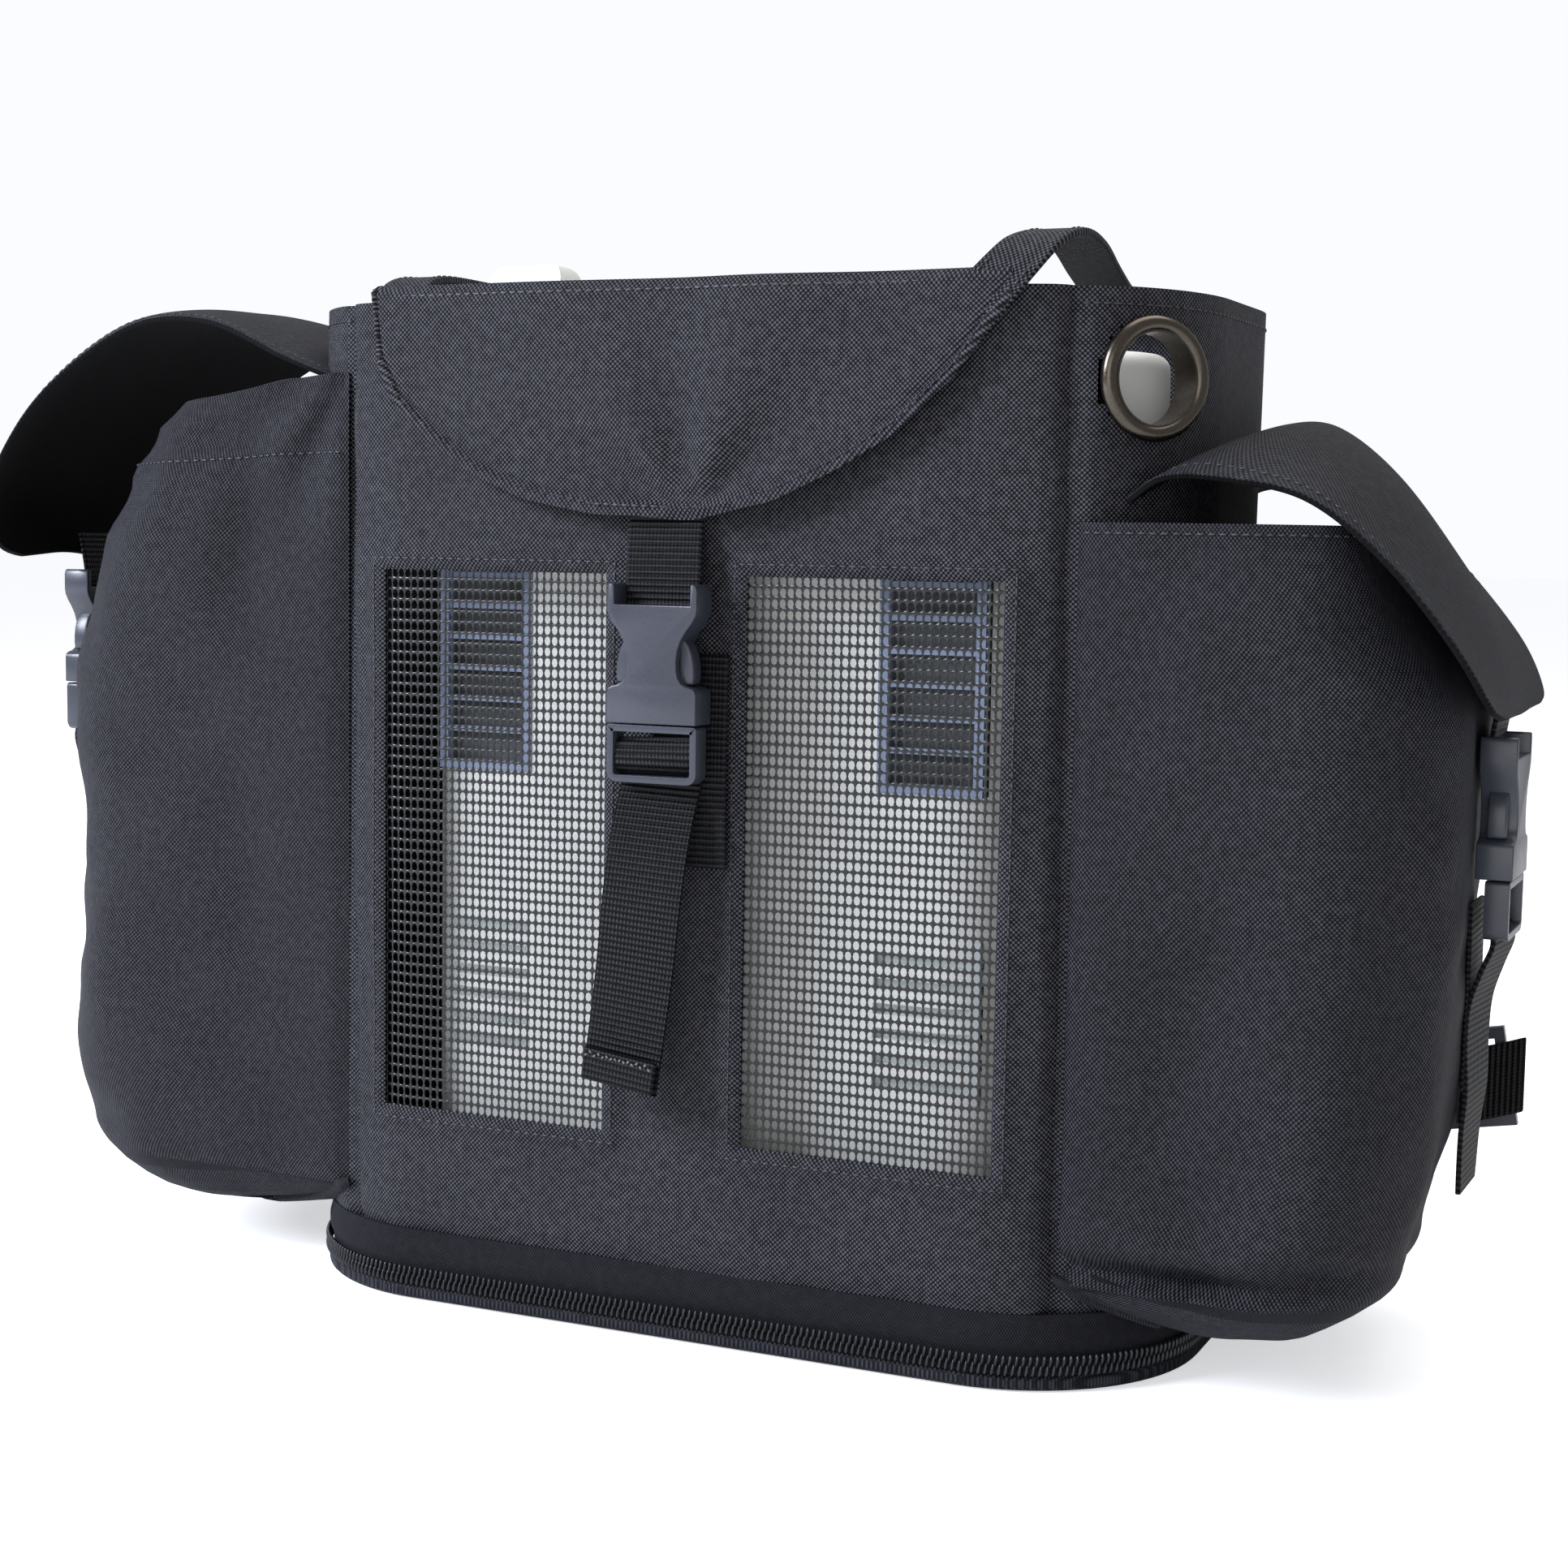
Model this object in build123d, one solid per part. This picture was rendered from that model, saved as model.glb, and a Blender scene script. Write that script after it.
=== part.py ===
"""Portable oxygen concentrator in its padded carry bag.

Frame: millimetres, +Z up, origin on the floor under the middle of the bag, -Y is the front.
The bag body is a rounded tube; two pockets stand out from its ends, each with its own buckled
flap, and a top cover with a front tongue buckles down over the front. The concentrator stands
on the bag's base board, with its intake grilles behind two mesh windows.
"""

from build123d import *
import math
import os

# bag body
BODY_HALF_W = 154.0
BODY_HALF_D = 78.0
BODY_CORNER_R = 60.0
BODY_TOP = 323.0
WALL = 3.0
SEAM_INSET = 31.5
SEAM_X = BODY_HALF_W - SEAM_INSET
BASE_THICK = 4.8
ZIP_COIL_BOTTOM = 5.0
ZIP_COIL_HEIGHT = 6.0
ZIP_COIL_PROUD = 1.2
ZIP_BODY_LENGTH = 10.0
ZIP_BODY_THICK = 2.4
ZIP_BRIDGE_LENGTH = 7.0
ZIP_BRIDGE_HEIGHT = 2.2
ZIP_TAB_LENGTH = 26.0
ZIP_TAB_THICK = 1.6
ZIP_TAB_HEIGHT = 5.0
ZIP_START_Y = 10.0
BASE_SEAM_Z = 21.0
HINGE_GAP = 0.4

# mesh windows in the front panel
WINDOW_INNER_X = 24.0
WINDOW_WIDTH = 81.0
WINDOW_BOTTOM = 64.0
WINDOW_BELOW_TOP = 84.0
WINDOW_HEIGHT = BODY_TOP - WINDOW_BELOW_TOP - WINDOW_BOTTOM
MESH_THICK = 1.0
TRIM_FIT = 0.1

# grommet on the right front corner of the bag body
GROMMET_TURN = 50.0
GROMMET_BELOW_TOP = 26.0
GROMMET_Z = BODY_TOP - GROMMET_BELOW_TOP
GROMMET_HOLE_R = 13.2
GROMMET_FLANGE = 4.8
GROMMET_OUTER_R = GROMMET_HOLE_R + GROMMET_FLANGE
GROMMET_RING = 3.2
GROMMET_BARREL_WALL = 1.2
WASHER_THICK = 1.2

# top cover
COVER_THICK = 2.4
COVER_GAP = 0.6
TONGUE_INSET = 48.0
TONGUE_HALF_W = BODY_HALF_W - TONGUE_INSET
TONGUE_DROP = 71.0
COVER_RISE = 4.0
COVER_HEM_Z = BODY_TOP + COVER_RISE
REAR_STRIP_DEPTH = 8.0
BAND_WIDTH = 18.0
BAND_ARCH_RIGHT = 13.0
BAND_ARCH_LEFT = 5.0

# side pockets
POCKET_SHEET = 3.0
POCKET_INSET = 8.0
POCKET_FRONT_Y = BODY_HALF_D - POCKET_INSET
POCKET_BOTTOM = 17.0
POCKET_DEPTH_RIGHT = 72.0
POCKET_DEPTH_LEFT = 102.0
POCKET_REACH_RIGHT = BODY_HALF_W + POCKET_DEPTH_RIGHT
POCKET_REACH_LEFT = BODY_HALF_W + POCKET_DEPTH_LEFT
POCKET_BELOW_TOP_RIGHT = 67.0
POCKET_BELOW_TOP_LEFT = 33.0
POCKET_TOP_RIGHT = BODY_TOP - POCKET_BELOW_TOP_RIGHT
POCKET_TOP_LEFT = BODY_TOP - POCKET_BELOW_TOP_LEFT
POCKET_CORNER_R = 38.0
POCKET_ROUND_R = 14.0
POCKET_LEAN_RIGHT = 23.0
POCKET_LEAN_LEFT = 50.0
POCKET_MOUTH_RIGHT = POCKET_REACH_RIGHT - POCKET_LEAN_RIGHT
POCKET_MOUTH_LEFT = POCKET_REACH_LEFT - POCKET_LEAN_LEFT
POCKET_LEAN_HEIGHT = 55.0

# pocket flaps
FLAP_THICK = 2.4
FLAP_INSET = 14.0
FLAP_HALF_D = BODY_HALF_D - FLAP_INSET
# each flap's section: steps out from the bag's end, and up from the bag's top
FLAP_SECTION_RIGHT = [(3.6, -44), (24, -39), (53, -56), (77, -89), (84, -109), (84, -122)]
FLAP_SECTION_LEFT = [(3.6, -14), (32, 1), (65, -2), (104, -26), (126, -61), (130, -83)]

# webbing and side release buckles
WEB_WIDTH = 25.0
WEB_THICK = 1.6
BUCKLE_SIDE = 2.5
BUCKLE_WIDTH = WEB_WIDTH + 2 * BUCKLE_SIDE
SOCKET_LENGTH = 42.0
PLUG_LENGTH = 17.5
BUCKLE_THICK = 11.0
BUCKLE_CAVITY = 5.6
ARM_WIDTH = 4.4
ARM_THICK = 5.0
BUCKLE_FIT = 0.4
BAR_DEPTH = 3.0
BAR_HEIGHT = 4.0
SOCKET_WINDOW_TOP = 16.0
SOCKET_WINDOW_BOTTOM = 31.0
SLOT_MARGIN = 3.4
SOCKET_WALL = 1.6
SOCKET_MOUTH_LOW = 8.0
SOCKET_FACE = 2.0
SOCKET_BLIND = 10.0
SCOOP_R = 12.0
SCOOP_REACH = 7.0
SLOT_FIT = 0.3
PLUG_SETBACK = 0.6
PLUG_CORNER_R = 3.0
PLUG_RIM = 3.0
GUIDE_HALF_W = 3.0
GUIDE_HALF_THICK = 2.0
GUIDE_TOP = -14.0
ARM_PAD_PROUD = 0.4
TAIL_HEM = 10.0
WEB_BEHIND_SOCKET = 2.2
STRAP_INTO_SOCKET = 7.0

# where the buckles hang
FRONT_WEB_LENGTH = 20.0
FRONT_TAIL = 104.0
FRONT_STAND_OFF = 4.0
FRONT_ANCHOR_X = 7.0
FRONT_ANCHOR = (-87.0, -20.0)
SIDE_ANCHOR = (-106.0, -50.0)
SIDE_RISE = 12.0
RIGHT_BUCKLE_OUT = 10.0
RIGHT_TAIL = 86.0
LEFT_BUCKLE_OUT = 25.0
LEFT_TAIL = 60.0
FLAP_TO_BUCKLE = 5.0

# concentrator
DEVICE_SIDE_ROOM = 49.0
DEVICE_FRONT_ROOM = 18.0
DEVICE_TOP_ROOM = 19.0
DEVICE_HALF_W = BODY_HALF_W - DEVICE_SIDE_ROOM
DEVICE_HALF_D = BODY_HALF_D - DEVICE_FRONT_ROOM
DEVICE_BOTTOM = 6.0
DEVICE_TOP = BODY_TOP - DEVICE_TOP_ROOM
DEVICE_TOP_R = 12.0
DEVICE_FOOT_R = 4.0
DEVICE_CORNER_R = 26.0
DEVICE_WALL = 2.6
DEVICE_SPLIT_Y = 4.0
GRILLE_INSET = 28.0
GRILLE_X = DEVICE_HALF_W - GRILLE_INSET
GRILLE_WIDTH = 34.0
GRILLE_DROP = 130.0
GRILLE_BOTTOM = DEVICE_TOP - GRILLE_DROP
GRILLE_PROUD = 0.6
GRILLE_HEIGHT = 78.0
GRILLE_FRAME = 3.0
GRILLE_BAR = 1.8
GRILLE_BAR_PITCH = 10.0
GRILLE_DEPTH = 3.4
FILTER_THICK = 3.0
LOUVRE_DROP = 91.0
LOUVRE_BOTTOM = GRILLE_BOTTOM - LOUVRE_DROP
LOUVRE_PITCH = 7.7
LOUVRE_COUNT = 6
LOUVRE_SLOT = 3.4
LOUVRE_WIDTH = 34.0
HANDLE_RISE = 33.0
HANDLE_TOP = DEVICE_TOP + HANDLE_RISE
HANDLE_GRIP_R = 6.5
HANDLE_GRIP_DROP = 6.0
HANDLE_BAND_GAP = 4.0
HANDLE_HALF_W = TONGUE_HALF_W - BAND_WIDTH - HANDLE_BAND_GAP
HANDLE_FOOT = 26.0
HANDLE_FOOT_R = 5.0
HANDLE_Y = -40.0
PANEL_Y = -6.0
PANEL_THICK = 4.0
PANEL_HALF_W = 52.0
PANEL_HALF_D = 14.0
PANEL_PROUD = 1.0
PANEL_CUT = 20.0
SCREEN_LEFT = -46.0
SCREEN_RIGHT = -16.0
SCREEN_HALF_D = 11.0
SCREEN_THICK = 0.6
BUTTON_X = 20.0
BUTTON_FLOOR = 1.0
BUTTON_CLEAR = 0.3
BUTTON_EDGE_R = 0.6
BUTTON_R = 6.0
BUTTON_TRAVEL = 1.2
BUTTON_PROUD = 2.0
BUTTON_FIT = 0.25
BUTTON_STEP = 24.0
NOZZLE_R = 3.0
NOZZLE_X = 68.0
NOZZLE_Y = -8.0
NOZZLE_LENGTH = 15.0
FITTING_FLANGE = 3.0
FITTING_RISE = 2.0
FITTING_LENGTH = 8.0
DC_BORE_R = 3.2
DC_DEPTH = 12.0
BATTERY_BELOW = 128.0
BATTERY_LENGTH = DEVICE_TOP - BATTERY_BELOW
BATTERY_REAR_ROOM = 12.0
BATTERY_CORNER_R = 4.0
BATTERY_WIDTH = 84.0
BATTERY_DEPTH = 24.0
BATTERY_FIT = 0.5
BATTERY_TOP_PROUD = 4.0
SHAFT_R = 3.0
SHAFT_FIT = 0.05
SHAFT_LENGTH = 30.0
COMPRESSOR_X = -20.0
COMPRESSOR_Y = -8.0
COMPRESSOR_AXIS = 42.0
COMPRESSOR_CASE = (70.0, 60.0, 60.0)
COMPRESSOR_SINK = 12.0
HEAD_R = 20.0
HEAD_HEIGHT = 20.0
FAN_FROM_CASE = 47.0
FAN_HUB_R = 9.0
FAN_HUB_LENGTH = 12.0
FAN_BLADES = 7
FAN_BLADE = (1.4, 18.0, 10.0)
FAN_BLADE_REACH = 17.0
FAN_PITCH = 35.0
BED_R = 19.0
BED_INSET = 41.0
BED_STEP = 48.0
BED_Y = -6.0
BED_FLOOR = 115.0
BED_HEAD_ROOM = 30.4
BED_EDGE_R = 4.0
BOARD_WIDTH = 74.0
BOARD_INSET = 11.0
BOARD_Y = -30.0
BOARD_THICK = 1.6
BOARD_FLOOR = 120.0
BOARD_HEAD_ROOM = 55.4
CHIP_SMALL = (20.0, 4.4, 20.0)
CHIP_LARGE = (14.0, 8.4, 25.0)
CHIP_SMALL_AT = (14.0, 30.0)
CHIP_LARGE_AT = (42.0, 70.0)

# back of the bag
PAD_WIDTH = 56.0
PAD_THICK = 9.0
PAD_X = 68.0
PAD_BOTTOM = 92.0
PAD_BELOW_TOP = 20.0
PAD_CORNER_R = 12.0
PAD_EDGE_R = 3.0
SLIDER_WIDTH = 33.0
SLIDER_HEIGHT = 22.0
SLIDER_THICK = 3.0
STRAP_RISE = 30.0
STRAP_FOOT_Z = 36.0
STRAP_UNDER_PAD = 10.0
STRAP_STAND_OFF = 1.0
STRAP_END_OUT = 82.0
SLIDER_FROM_END = 16.0
SLIDER_DROP = 3.0
SLIDER_SLOT = 5.0
SLIDER_TILT = 10.0
HAUL_WIDTH = 72.0
HAUL_DROP = 52.0
HAUL_WEB = 16.0
HAUL_THICK = 4.0
HAUL_CORNER_R = 20.0
HAUL_INNER_R = 6.0
HAUL_BELOW_TOP = 4.0


def save(name, shape):
    shape.label = name
    export_step(shape, f"parts/{name}.step")


def sheet_section(points, thick, samples=10):
    """Face of a thin sheet seen on edge: a smooth curve through points, and its offset."""
    path = Spline(*points)
    offset = []
    for step in range(samples + 1):
        spot = path @ (step / samples)
        along = path % (step / samples)
        offset.append((spot.X + thick * along.Y, spot.Y - thick * along.X))
    under = Spline(*offset)
    ends = [Line(path @ 0, under @ 0), Line(path @ 1, under @ 1)]
    return make_face([path, under] + ends)


def block(x0, x1, y0, y1, z0, z1):
    """A box given by its limits."""
    return Pos((x0 + x1) / 2, (y0 + y1) / 2, (z0 + z1) / 2) * Box(x1 - x0, y1 - y0, z1 - z0)


def body_plan(grow=0.0):
    """Outline of the bag body, seen from above, grown outwards by grow."""
    return RectangleRounded(
        2 * (BODY_HALF_W + grow), 2 * (BODY_HALF_D + grow), BODY_CORNER_R + grow
    )


def body_tube(outer, inner, z0, z1):
    """A wall that follows the bag body, between two offsets of its outline."""
    return Pos(0, 0, z0) * extrude(body_plan(outer) - body_plan(inner), z1 - z0)


def window(side, grow=0.0):
    x0 = WINDOW_INNER_X - grow
    x1 = WINDOW_INNER_X + WINDOW_WIDTH + grow
    if side < 0:
        x0, x1 = -x1, -x0
    return block(
        x0, x1, -BODY_HALF_D - WALL, -BODY_HALF_D + 4 * WALL,
        WINDOW_BOTTOM - grow, WINDOW_BOTTOM + WINDOW_HEIGHT + grow,
    )


def grommet_frame():
    """Location on the outer face of the corner, with its Z pointing out of the bag."""
    turn = math.radians(GROMMET_TURN)
    x = BODY_HALF_W - BODY_CORNER_R + BODY_CORNER_R * math.sin(turn)
    y = -(BODY_HALF_D - BODY_CORNER_R + BODY_CORNER_R * math.cos(turn))
    return Location(Plane(origin=(x, y, GROMMET_Z), z_dir=(math.sin(turn), -math.cos(turn), 0)))


def bag_walls():
    tube = body_tube(0, -WALL, BASE_SEAM_Z, BODY_TOP)
    reach = 2 * BODY_HALF_W
    middle = block(-SEAM_X, SEAM_X, -reach, 0, 0, 2 * BODY_TOP)
    front = (tube & middle) - window(1) - window(-1)
    back = tube & mirror(middle, Plane.XZ)
    right = tube & block(SEAM_X, reach, -reach, reach, 0, 2 * BODY_TOP)
    left = tube & block(-reach, -SEAM_X, -reach, reach, 0, 2 * BODY_TOP)
    right = right - grommet_frame() * Cylinder(
        GROMMET_HOLE_R + GROMMET_BARREL_WALL + TRIM_FIT, 8 * WALL
    )
    save("front_panel", front)
    save("back_panel", back)
    save("side_panel_right", right)
    save("side_panel_left", left)
    sheet = body_tube(-MESH_THICK, -2 * MESH_THICK, WINDOW_BOTTOM - WALL, BODY_TOP)
    save("window_mesh_right", sheet & window(1, -TRIM_FIT))
    save("window_mesh_left", sheet & window(-1, -TRIM_FIT))


def bag_base():
    coil_top = ZIP_COIL_BOTTOM + ZIP_COIL_HEIGHT
    save("zip_tape_band", body_tube(0, -WALL, coil_top, BASE_SEAM_Z))
    coil = body_tube(ZIP_COIL_PROUD, -WALL, ZIP_COIL_BOTTOM, coil_top)
    hinge_side = block(
        -BODY_HALF_W, BODY_HALF_W, BODY_HALF_D - 2 * WALL, BODY_HALF_D + 2 * WALL, 0, coil_top
    )
    save("zip_coil", coil - hinge_side)
    board = extrude(body_plan(0), BASE_THICK)
    board = fillet(board.edges().group_by(Axis.Z)[0], BASE_THICK * 0.4)
    save("base_panel", board)


def zip_slider():
    """Slider body outside the coil, with its flat tab lying back along the coil."""
    x = BODY_HALF_W + ZIP_COIL_PROUD + HINGE_GAP
    z = ZIP_COIL_BOTTOM + ZIP_COIL_HEIGHT / 2
    height = ZIP_COIL_HEIGHT + ZIP_BODY_THICK / 2
    body = Pos(x + ZIP_BODY_THICK / 2, ZIP_START_Y, z) * Box(ZIP_BODY_THICK, ZIP_BODY_LENGTH, height)
    tab_x = x + ZIP_BODY_THICK + ZIP_TAB_THICK
    bridge = block(
        x + ZIP_BODY_THICK - HINGE_GAP, tab_x,
        ZIP_START_Y - ZIP_BRIDGE_LENGTH / 2, ZIP_START_Y + ZIP_BRIDGE_LENGTH / 2,
        z - ZIP_BRIDGE_HEIGHT / 2, z + ZIP_BRIDGE_HEIGHT / 2,
    )
    tab = block(
        tab_x - HINGE_GAP, tab_x + ZIP_TAB_THICK,
        ZIP_START_Y - ZIP_BRIDGE_HEIGHT, ZIP_START_Y + ZIP_TAB_LENGTH,
        z - ZIP_TAB_HEIGHT / 2, z + ZIP_TAB_HEIGHT / 2,
    )
    save("zip_slider", body + bridge + tab)


def grommet():
    frame = grommet_frame()
    barrel_r = GROMMET_HOLE_R + GROMMET_BARREL_WALL
    section_r = (GROMMET_OUTER_R - GROMMET_HOLE_R) / 2
    dome = Pos(0, 0, GROMMET_RING) * Torus(GROMMET_OUTER_R - section_r, section_r)
    barrel = Cylinder(barrel_r, 3 * GROMMET_RING) - Cylinder(GROMMET_HOLE_R, 4 * GROMMET_RING)
    ring = (dome + barrel) - Cylinder(GROMMET_HOLE_R, 8 * GROMMET_RING)
    # the panel is curved, so the ring's foot is cut to the curve it clamps
    ring = frame * ring - body_tube(0, -WALL - 2 * TRIM_FIT, GROMMET_Z - 40, GROMMET_Z + 40)
    washer_face = -WALL - TRIM_FIT
    inner = body_tube(washer_face, washer_face - WASHER_THICK, GROMMET_Z - 40, GROMMET_Z + 40)
    washer = inner & (frame * Pos(0, 0, -2 * WALL) * Cylinder(GROMMET_OUTER_R, 4 * WALL))
    washer = washer - frame * Cylinder(GROMMET_HOLE_R, 60)
    barrel_piece = frame * (Cylinder(barrel_r, 20) - Cylinder(GROMMET_HOLE_R, 24))
    barrel_piece = barrel_piece & body_tube(0, -WALL - TRIM_FIT, GROMMET_Z - 40, GROMMET_Z + 40)
    outside = [s for s in ring.solids() if s.center().Y < frame.position.Y + 4]
    outer = max(outside, key=lambda s: s.volume)
    save("grommet_ring", outer + barrel_piece)
    save("grommet_washer", washer)


def tongue():
    """Half-moon front tongue of the cover: it follows the front of the bag body."""
    y_out = COVER_GAP + COVER_THICK
    sheet = body_tube(y_out, COVER_GAP, COVER_HEM_Z - TONGUE_DROP, COVER_HEM_Z)
    moon = Ellipse(TONGUE_HALF_W, TONGUE_DROP)
    reach = 2 * BODY_HALF_D
    cutter = Pos(0, 0, COVER_HEM_Z) * Rot(90, 0, 0) * extrude(moon, reach)
    return sheet & cutter


def cover_band(side, arch):
    """Narrow band that carries the tongue over the top to the back edge."""
    x0 = TONGUE_HALF_W - BAND_WIDTH
    y_front = -BODY_HALF_D - COVER_GAP
    y_back = BODY_HALF_D + COVER_GAP
    low = COVER_HEM_Z
    points = [
        (y_front - COVER_THICK, low - 1),
        (y_front, low + 0.6 * arch),
        (y_front + 12, low + arch),
        (-BODY_HALF_D / 3, low + arch * 0.7),
        (BODY_HALF_D / 2, low + arch * 0.25 + COVER_THICK),
        (y_back, low + COVER_THICK / 2),
    ]
    strip = Pos(x0, 0, 0) * (Plane.YZ * extrude(sheet_section(points, COVER_THICK), BAND_WIDTH))
    return strip if side > 0 else mirror(strip, Plane.YZ)


def top_cover():
    rear = block(
        -TONGUE_HALF_W, TONGUE_HALF_W,
        BODY_HALF_D - REAR_STRIP_DEPTH, BODY_HALF_D + COVER_GAP + COVER_THICK,
        COVER_HEM_Z - COVER_THICK / 2, COVER_HEM_Z + COVER_THICK / 2,
    )
    cover = tongue() + cover_band(1, BAND_ARCH_RIGHT) + cover_band(-1, BAND_ARCH_LEFT) + rear
    save("top_cover", cover)


def pocket_outline(reach, side, inset):
    """Plan of a pocket, seen from above, inset from its outer face."""
    x_in = SEAM_X + POCKET_SHEET
    x_out = reach - inset
    half = POCKET_FRONT_Y - inset
    plan = Pos((x_in + x_out) / 2, 0) * Rectangle(x_out - x_in, 2 * half)
    far = [v for v in plan.vertices() if v.X > x_in + 1]
    plan = fillet(far, POCKET_CORNER_R - inset)
    return plan if side > 0 else mirror(plan, Plane.YZ)


def pocket_solid(side, reach, mouth_reach, top, inset):
    """Pocket filled solid: straight up to its shoulder, then leaning in to its mouth."""
    low = POCKET_BOTTOM + inset
    shoulder = top - POCKET_LEAN_HEIGHT
    wide = pocket_outline(reach, side, inset)
    body = Pos(0, 0, low) * extrude(wide, shoulder - low)
    rim = body.edges().group_by(Axis.Z)[0]
    rim = rim.filter_by(lambda e: abs(e.center().X) > SEAM_X + POCKET_SHEET + 2)
    body = fillet(rim, POCKET_ROUND_R - inset)
    mouth = pocket_outline(mouth_reach, side, inset)
    lean = loft([Pos(0, 0, shoulder) * wide, Pos(0, 0, top) * mouth], ruled=True)
    return body + lean


def pocket(name, side, reach, mouth_reach, top):
    """Open pocket sewn to the end of the bag body."""
    outer = pocket_solid(side, reach, mouth_reach, top, 0)
    inner = pocket_solid(side, reach, mouth_reach, top, POCKET_SHEET)
    body = extrude(body_plan(TRIM_FIT), 2 * BODY_TOP)
    save(name, outer - inner - body)


def flap_sheet(points, side):
    """Arched flap: its section is a smooth curve through points, swept front to back."""
    face = Plane.XZ * sheet_section(points, FLAP_THICK)
    sheet = extrude(face, FLAP_HALF_D, both=True)
    return sheet if side > 0 else mirror(sheet, Plane.YZ)


def pocket_flaps():
    right = [(BODY_HALF_W + out, BODY_TOP + up) for out, up in FLAP_SECTION_RIGHT]
    left = [(BODY_HALF_W + out, BODY_TOP + up) for out, up in FLAP_SECTION_LEFT]
    save("pocket_flap_right", flap_sheet(right, 1))
    save("pocket_flap_left", flap_sheet(left, -1))


def socket():
    """Female buckle half, in its own frame: top at z=0, front towards -Y, webbing slot on top."""
    half_w = BUCKLE_WIDTH / 2
    body = Pos(0, 0, -SOCKET_LENGTH / 2) * Box(BUCKLE_WIDTH, BUCKLE_THICK, SOCKET_LENGTH)
    body = fillet(body.edges().filter_by(Axis.Z), BUCKLE_THICK * 0.35)
    cavity = block(
        -half_w + SOCKET_WALL, half_w - SOCKET_WALL, -BUCKLE_CAVITY / 2, BUCKLE_CAVITY / 2,
        -SOCKET_LENGTH - 1, -SOCKET_BLIND,
    )
    sides = Pos(0, 0, -(SOCKET_WINDOW_TOP + SOCKET_WINDOW_BOTTOM) / 2)
    sides = sides * Box(3 * BUCKLE_WIDTH, BUCKLE_CAVITY, SOCKET_WINDOW_BOTTOM - SOCKET_WINDOW_TOP)
    waist_z = -(SOCKET_WINDOW_TOP + SOCKET_WINDOW_BOTTOM) / 2
    waist = Pos(0, 0, waist_z) * Rot(90, 0, 0) * Cylinder(SCOOP_R, 2 * BUCKLE_THICK)
    scoop_x = half_w + SCOOP_REACH
    scoops = Pos(scoop_x, 0, 0) * waist + Pos(-scoop_x, 0, 0) * waist
    slot_x = WEB_WIDTH / 2 + SLOT_FIT
    slot_y = BUCKLE_THICK / 2 - SOCKET_FACE
    slot = block(-slot_x, slot_x, -slot_y, slot_y, -SOCKET_MOUTH_LOW, -SLOT_MARGIN)
    mouth = block(-slot_x, slot_x, 0, BUCKLE_THICK, -SOCKET_MOUTH_LOW, 1)
    return body - cavity - sides - scoops - slot - mouth


def plug_bar_z():
    """Height of the plug's crossbar, which the webbing folds over."""
    return -SOCKET_LENGTH - BUCKLE_FIT - (PLUG_LENGTH + SLOT_MARGIN - PLUG_RIM) / 2


def plug():
    """Male buckle half: crossbar frame below the socket, with a centre guide inside it."""
    top = -SOCKET_LENGTH - BUCKLE_FIT
    half_y = BUCKLE_THICK / 2 - PLUG_SETBACK
    frame = block(
        -BUCKLE_WIDTH / 2, BUCKLE_WIDTH / 2, -half_y, half_y, top - PLUG_LENGTH, top
    )
    frame = fillet(frame.edges().filter_by(Axis.Z), PLUG_CORNER_R)
    slot_x = WEB_WIDTH / 2 + SLOT_FIT
    opening = block(
        -slot_x, slot_x, -BUCKLE_THICK, BUCKLE_THICK,
        top - PLUG_LENGTH + PLUG_RIM, top - SLOT_MARGIN,
    )
    behind = block(
        -slot_x, slot_x, 0, BUCKLE_THICK, top - PLUG_LENGTH - 1, top - SLOT_MARGIN
    )
    bar = Pos(0, 0, plug_bar_z()) * Box(2 * slot_x + SLOT_FIT, BAR_DEPTH, BAR_HEIGHT)
    guide = block(
        -GUIDE_HALF_W, GUIDE_HALF_W, -GUIDE_HALF_THICK, GUIDE_HALF_THICK, top - 1, GUIDE_TOP
    )
    return (frame - opening - behind) + bar + guide


def release_arm(hand):
    """Springy release arm: its shoulder is the thumb pad seen in the socket's side window."""
    top = -SOCKET_LENGTH - BUCKLE_FIT
    half_w = BUCKLE_WIDTH / 2
    x_out = half_w - SOCKET_WALL - BUCKLE_FIT
    stem = block(
        x_out - ARM_WIDTH, x_out, -ARM_THICK / 2, ARM_THICK / 2,
        top + BUCKLE_FIT, -SOCKET_WINDOW_TOP - BUCKLE_FIT - 1,
    )
    pad = block(
        x_out - ARM_WIDTH, half_w - SOCKET_WALL + ARM_PAD_PROUD, -ARM_THICK / 2, ARM_THICK / 2,
        -SOCKET_WINDOW_BOTTOM + BUCKLE_FIT, -SOCKET_WINDOW_TOP - BUCKLE_FIT,
    )
    arm = stem + pad
    return arm if hand > 0 else mirror(arm, Plane.YZ)


def buckle(tag, place):
    """All pieces of one buckle, set on a place whose -Y is the outside of the bag."""
    save(f"buckle_socket_{tag}", place * socket())
    save(f"buckle_plug_{tag}", place * plug())
    save(f"release_arm_{tag}_a", place * release_arm(1))
    save(f"release_arm_{tag}_b", place * release_arm(-1))


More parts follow.
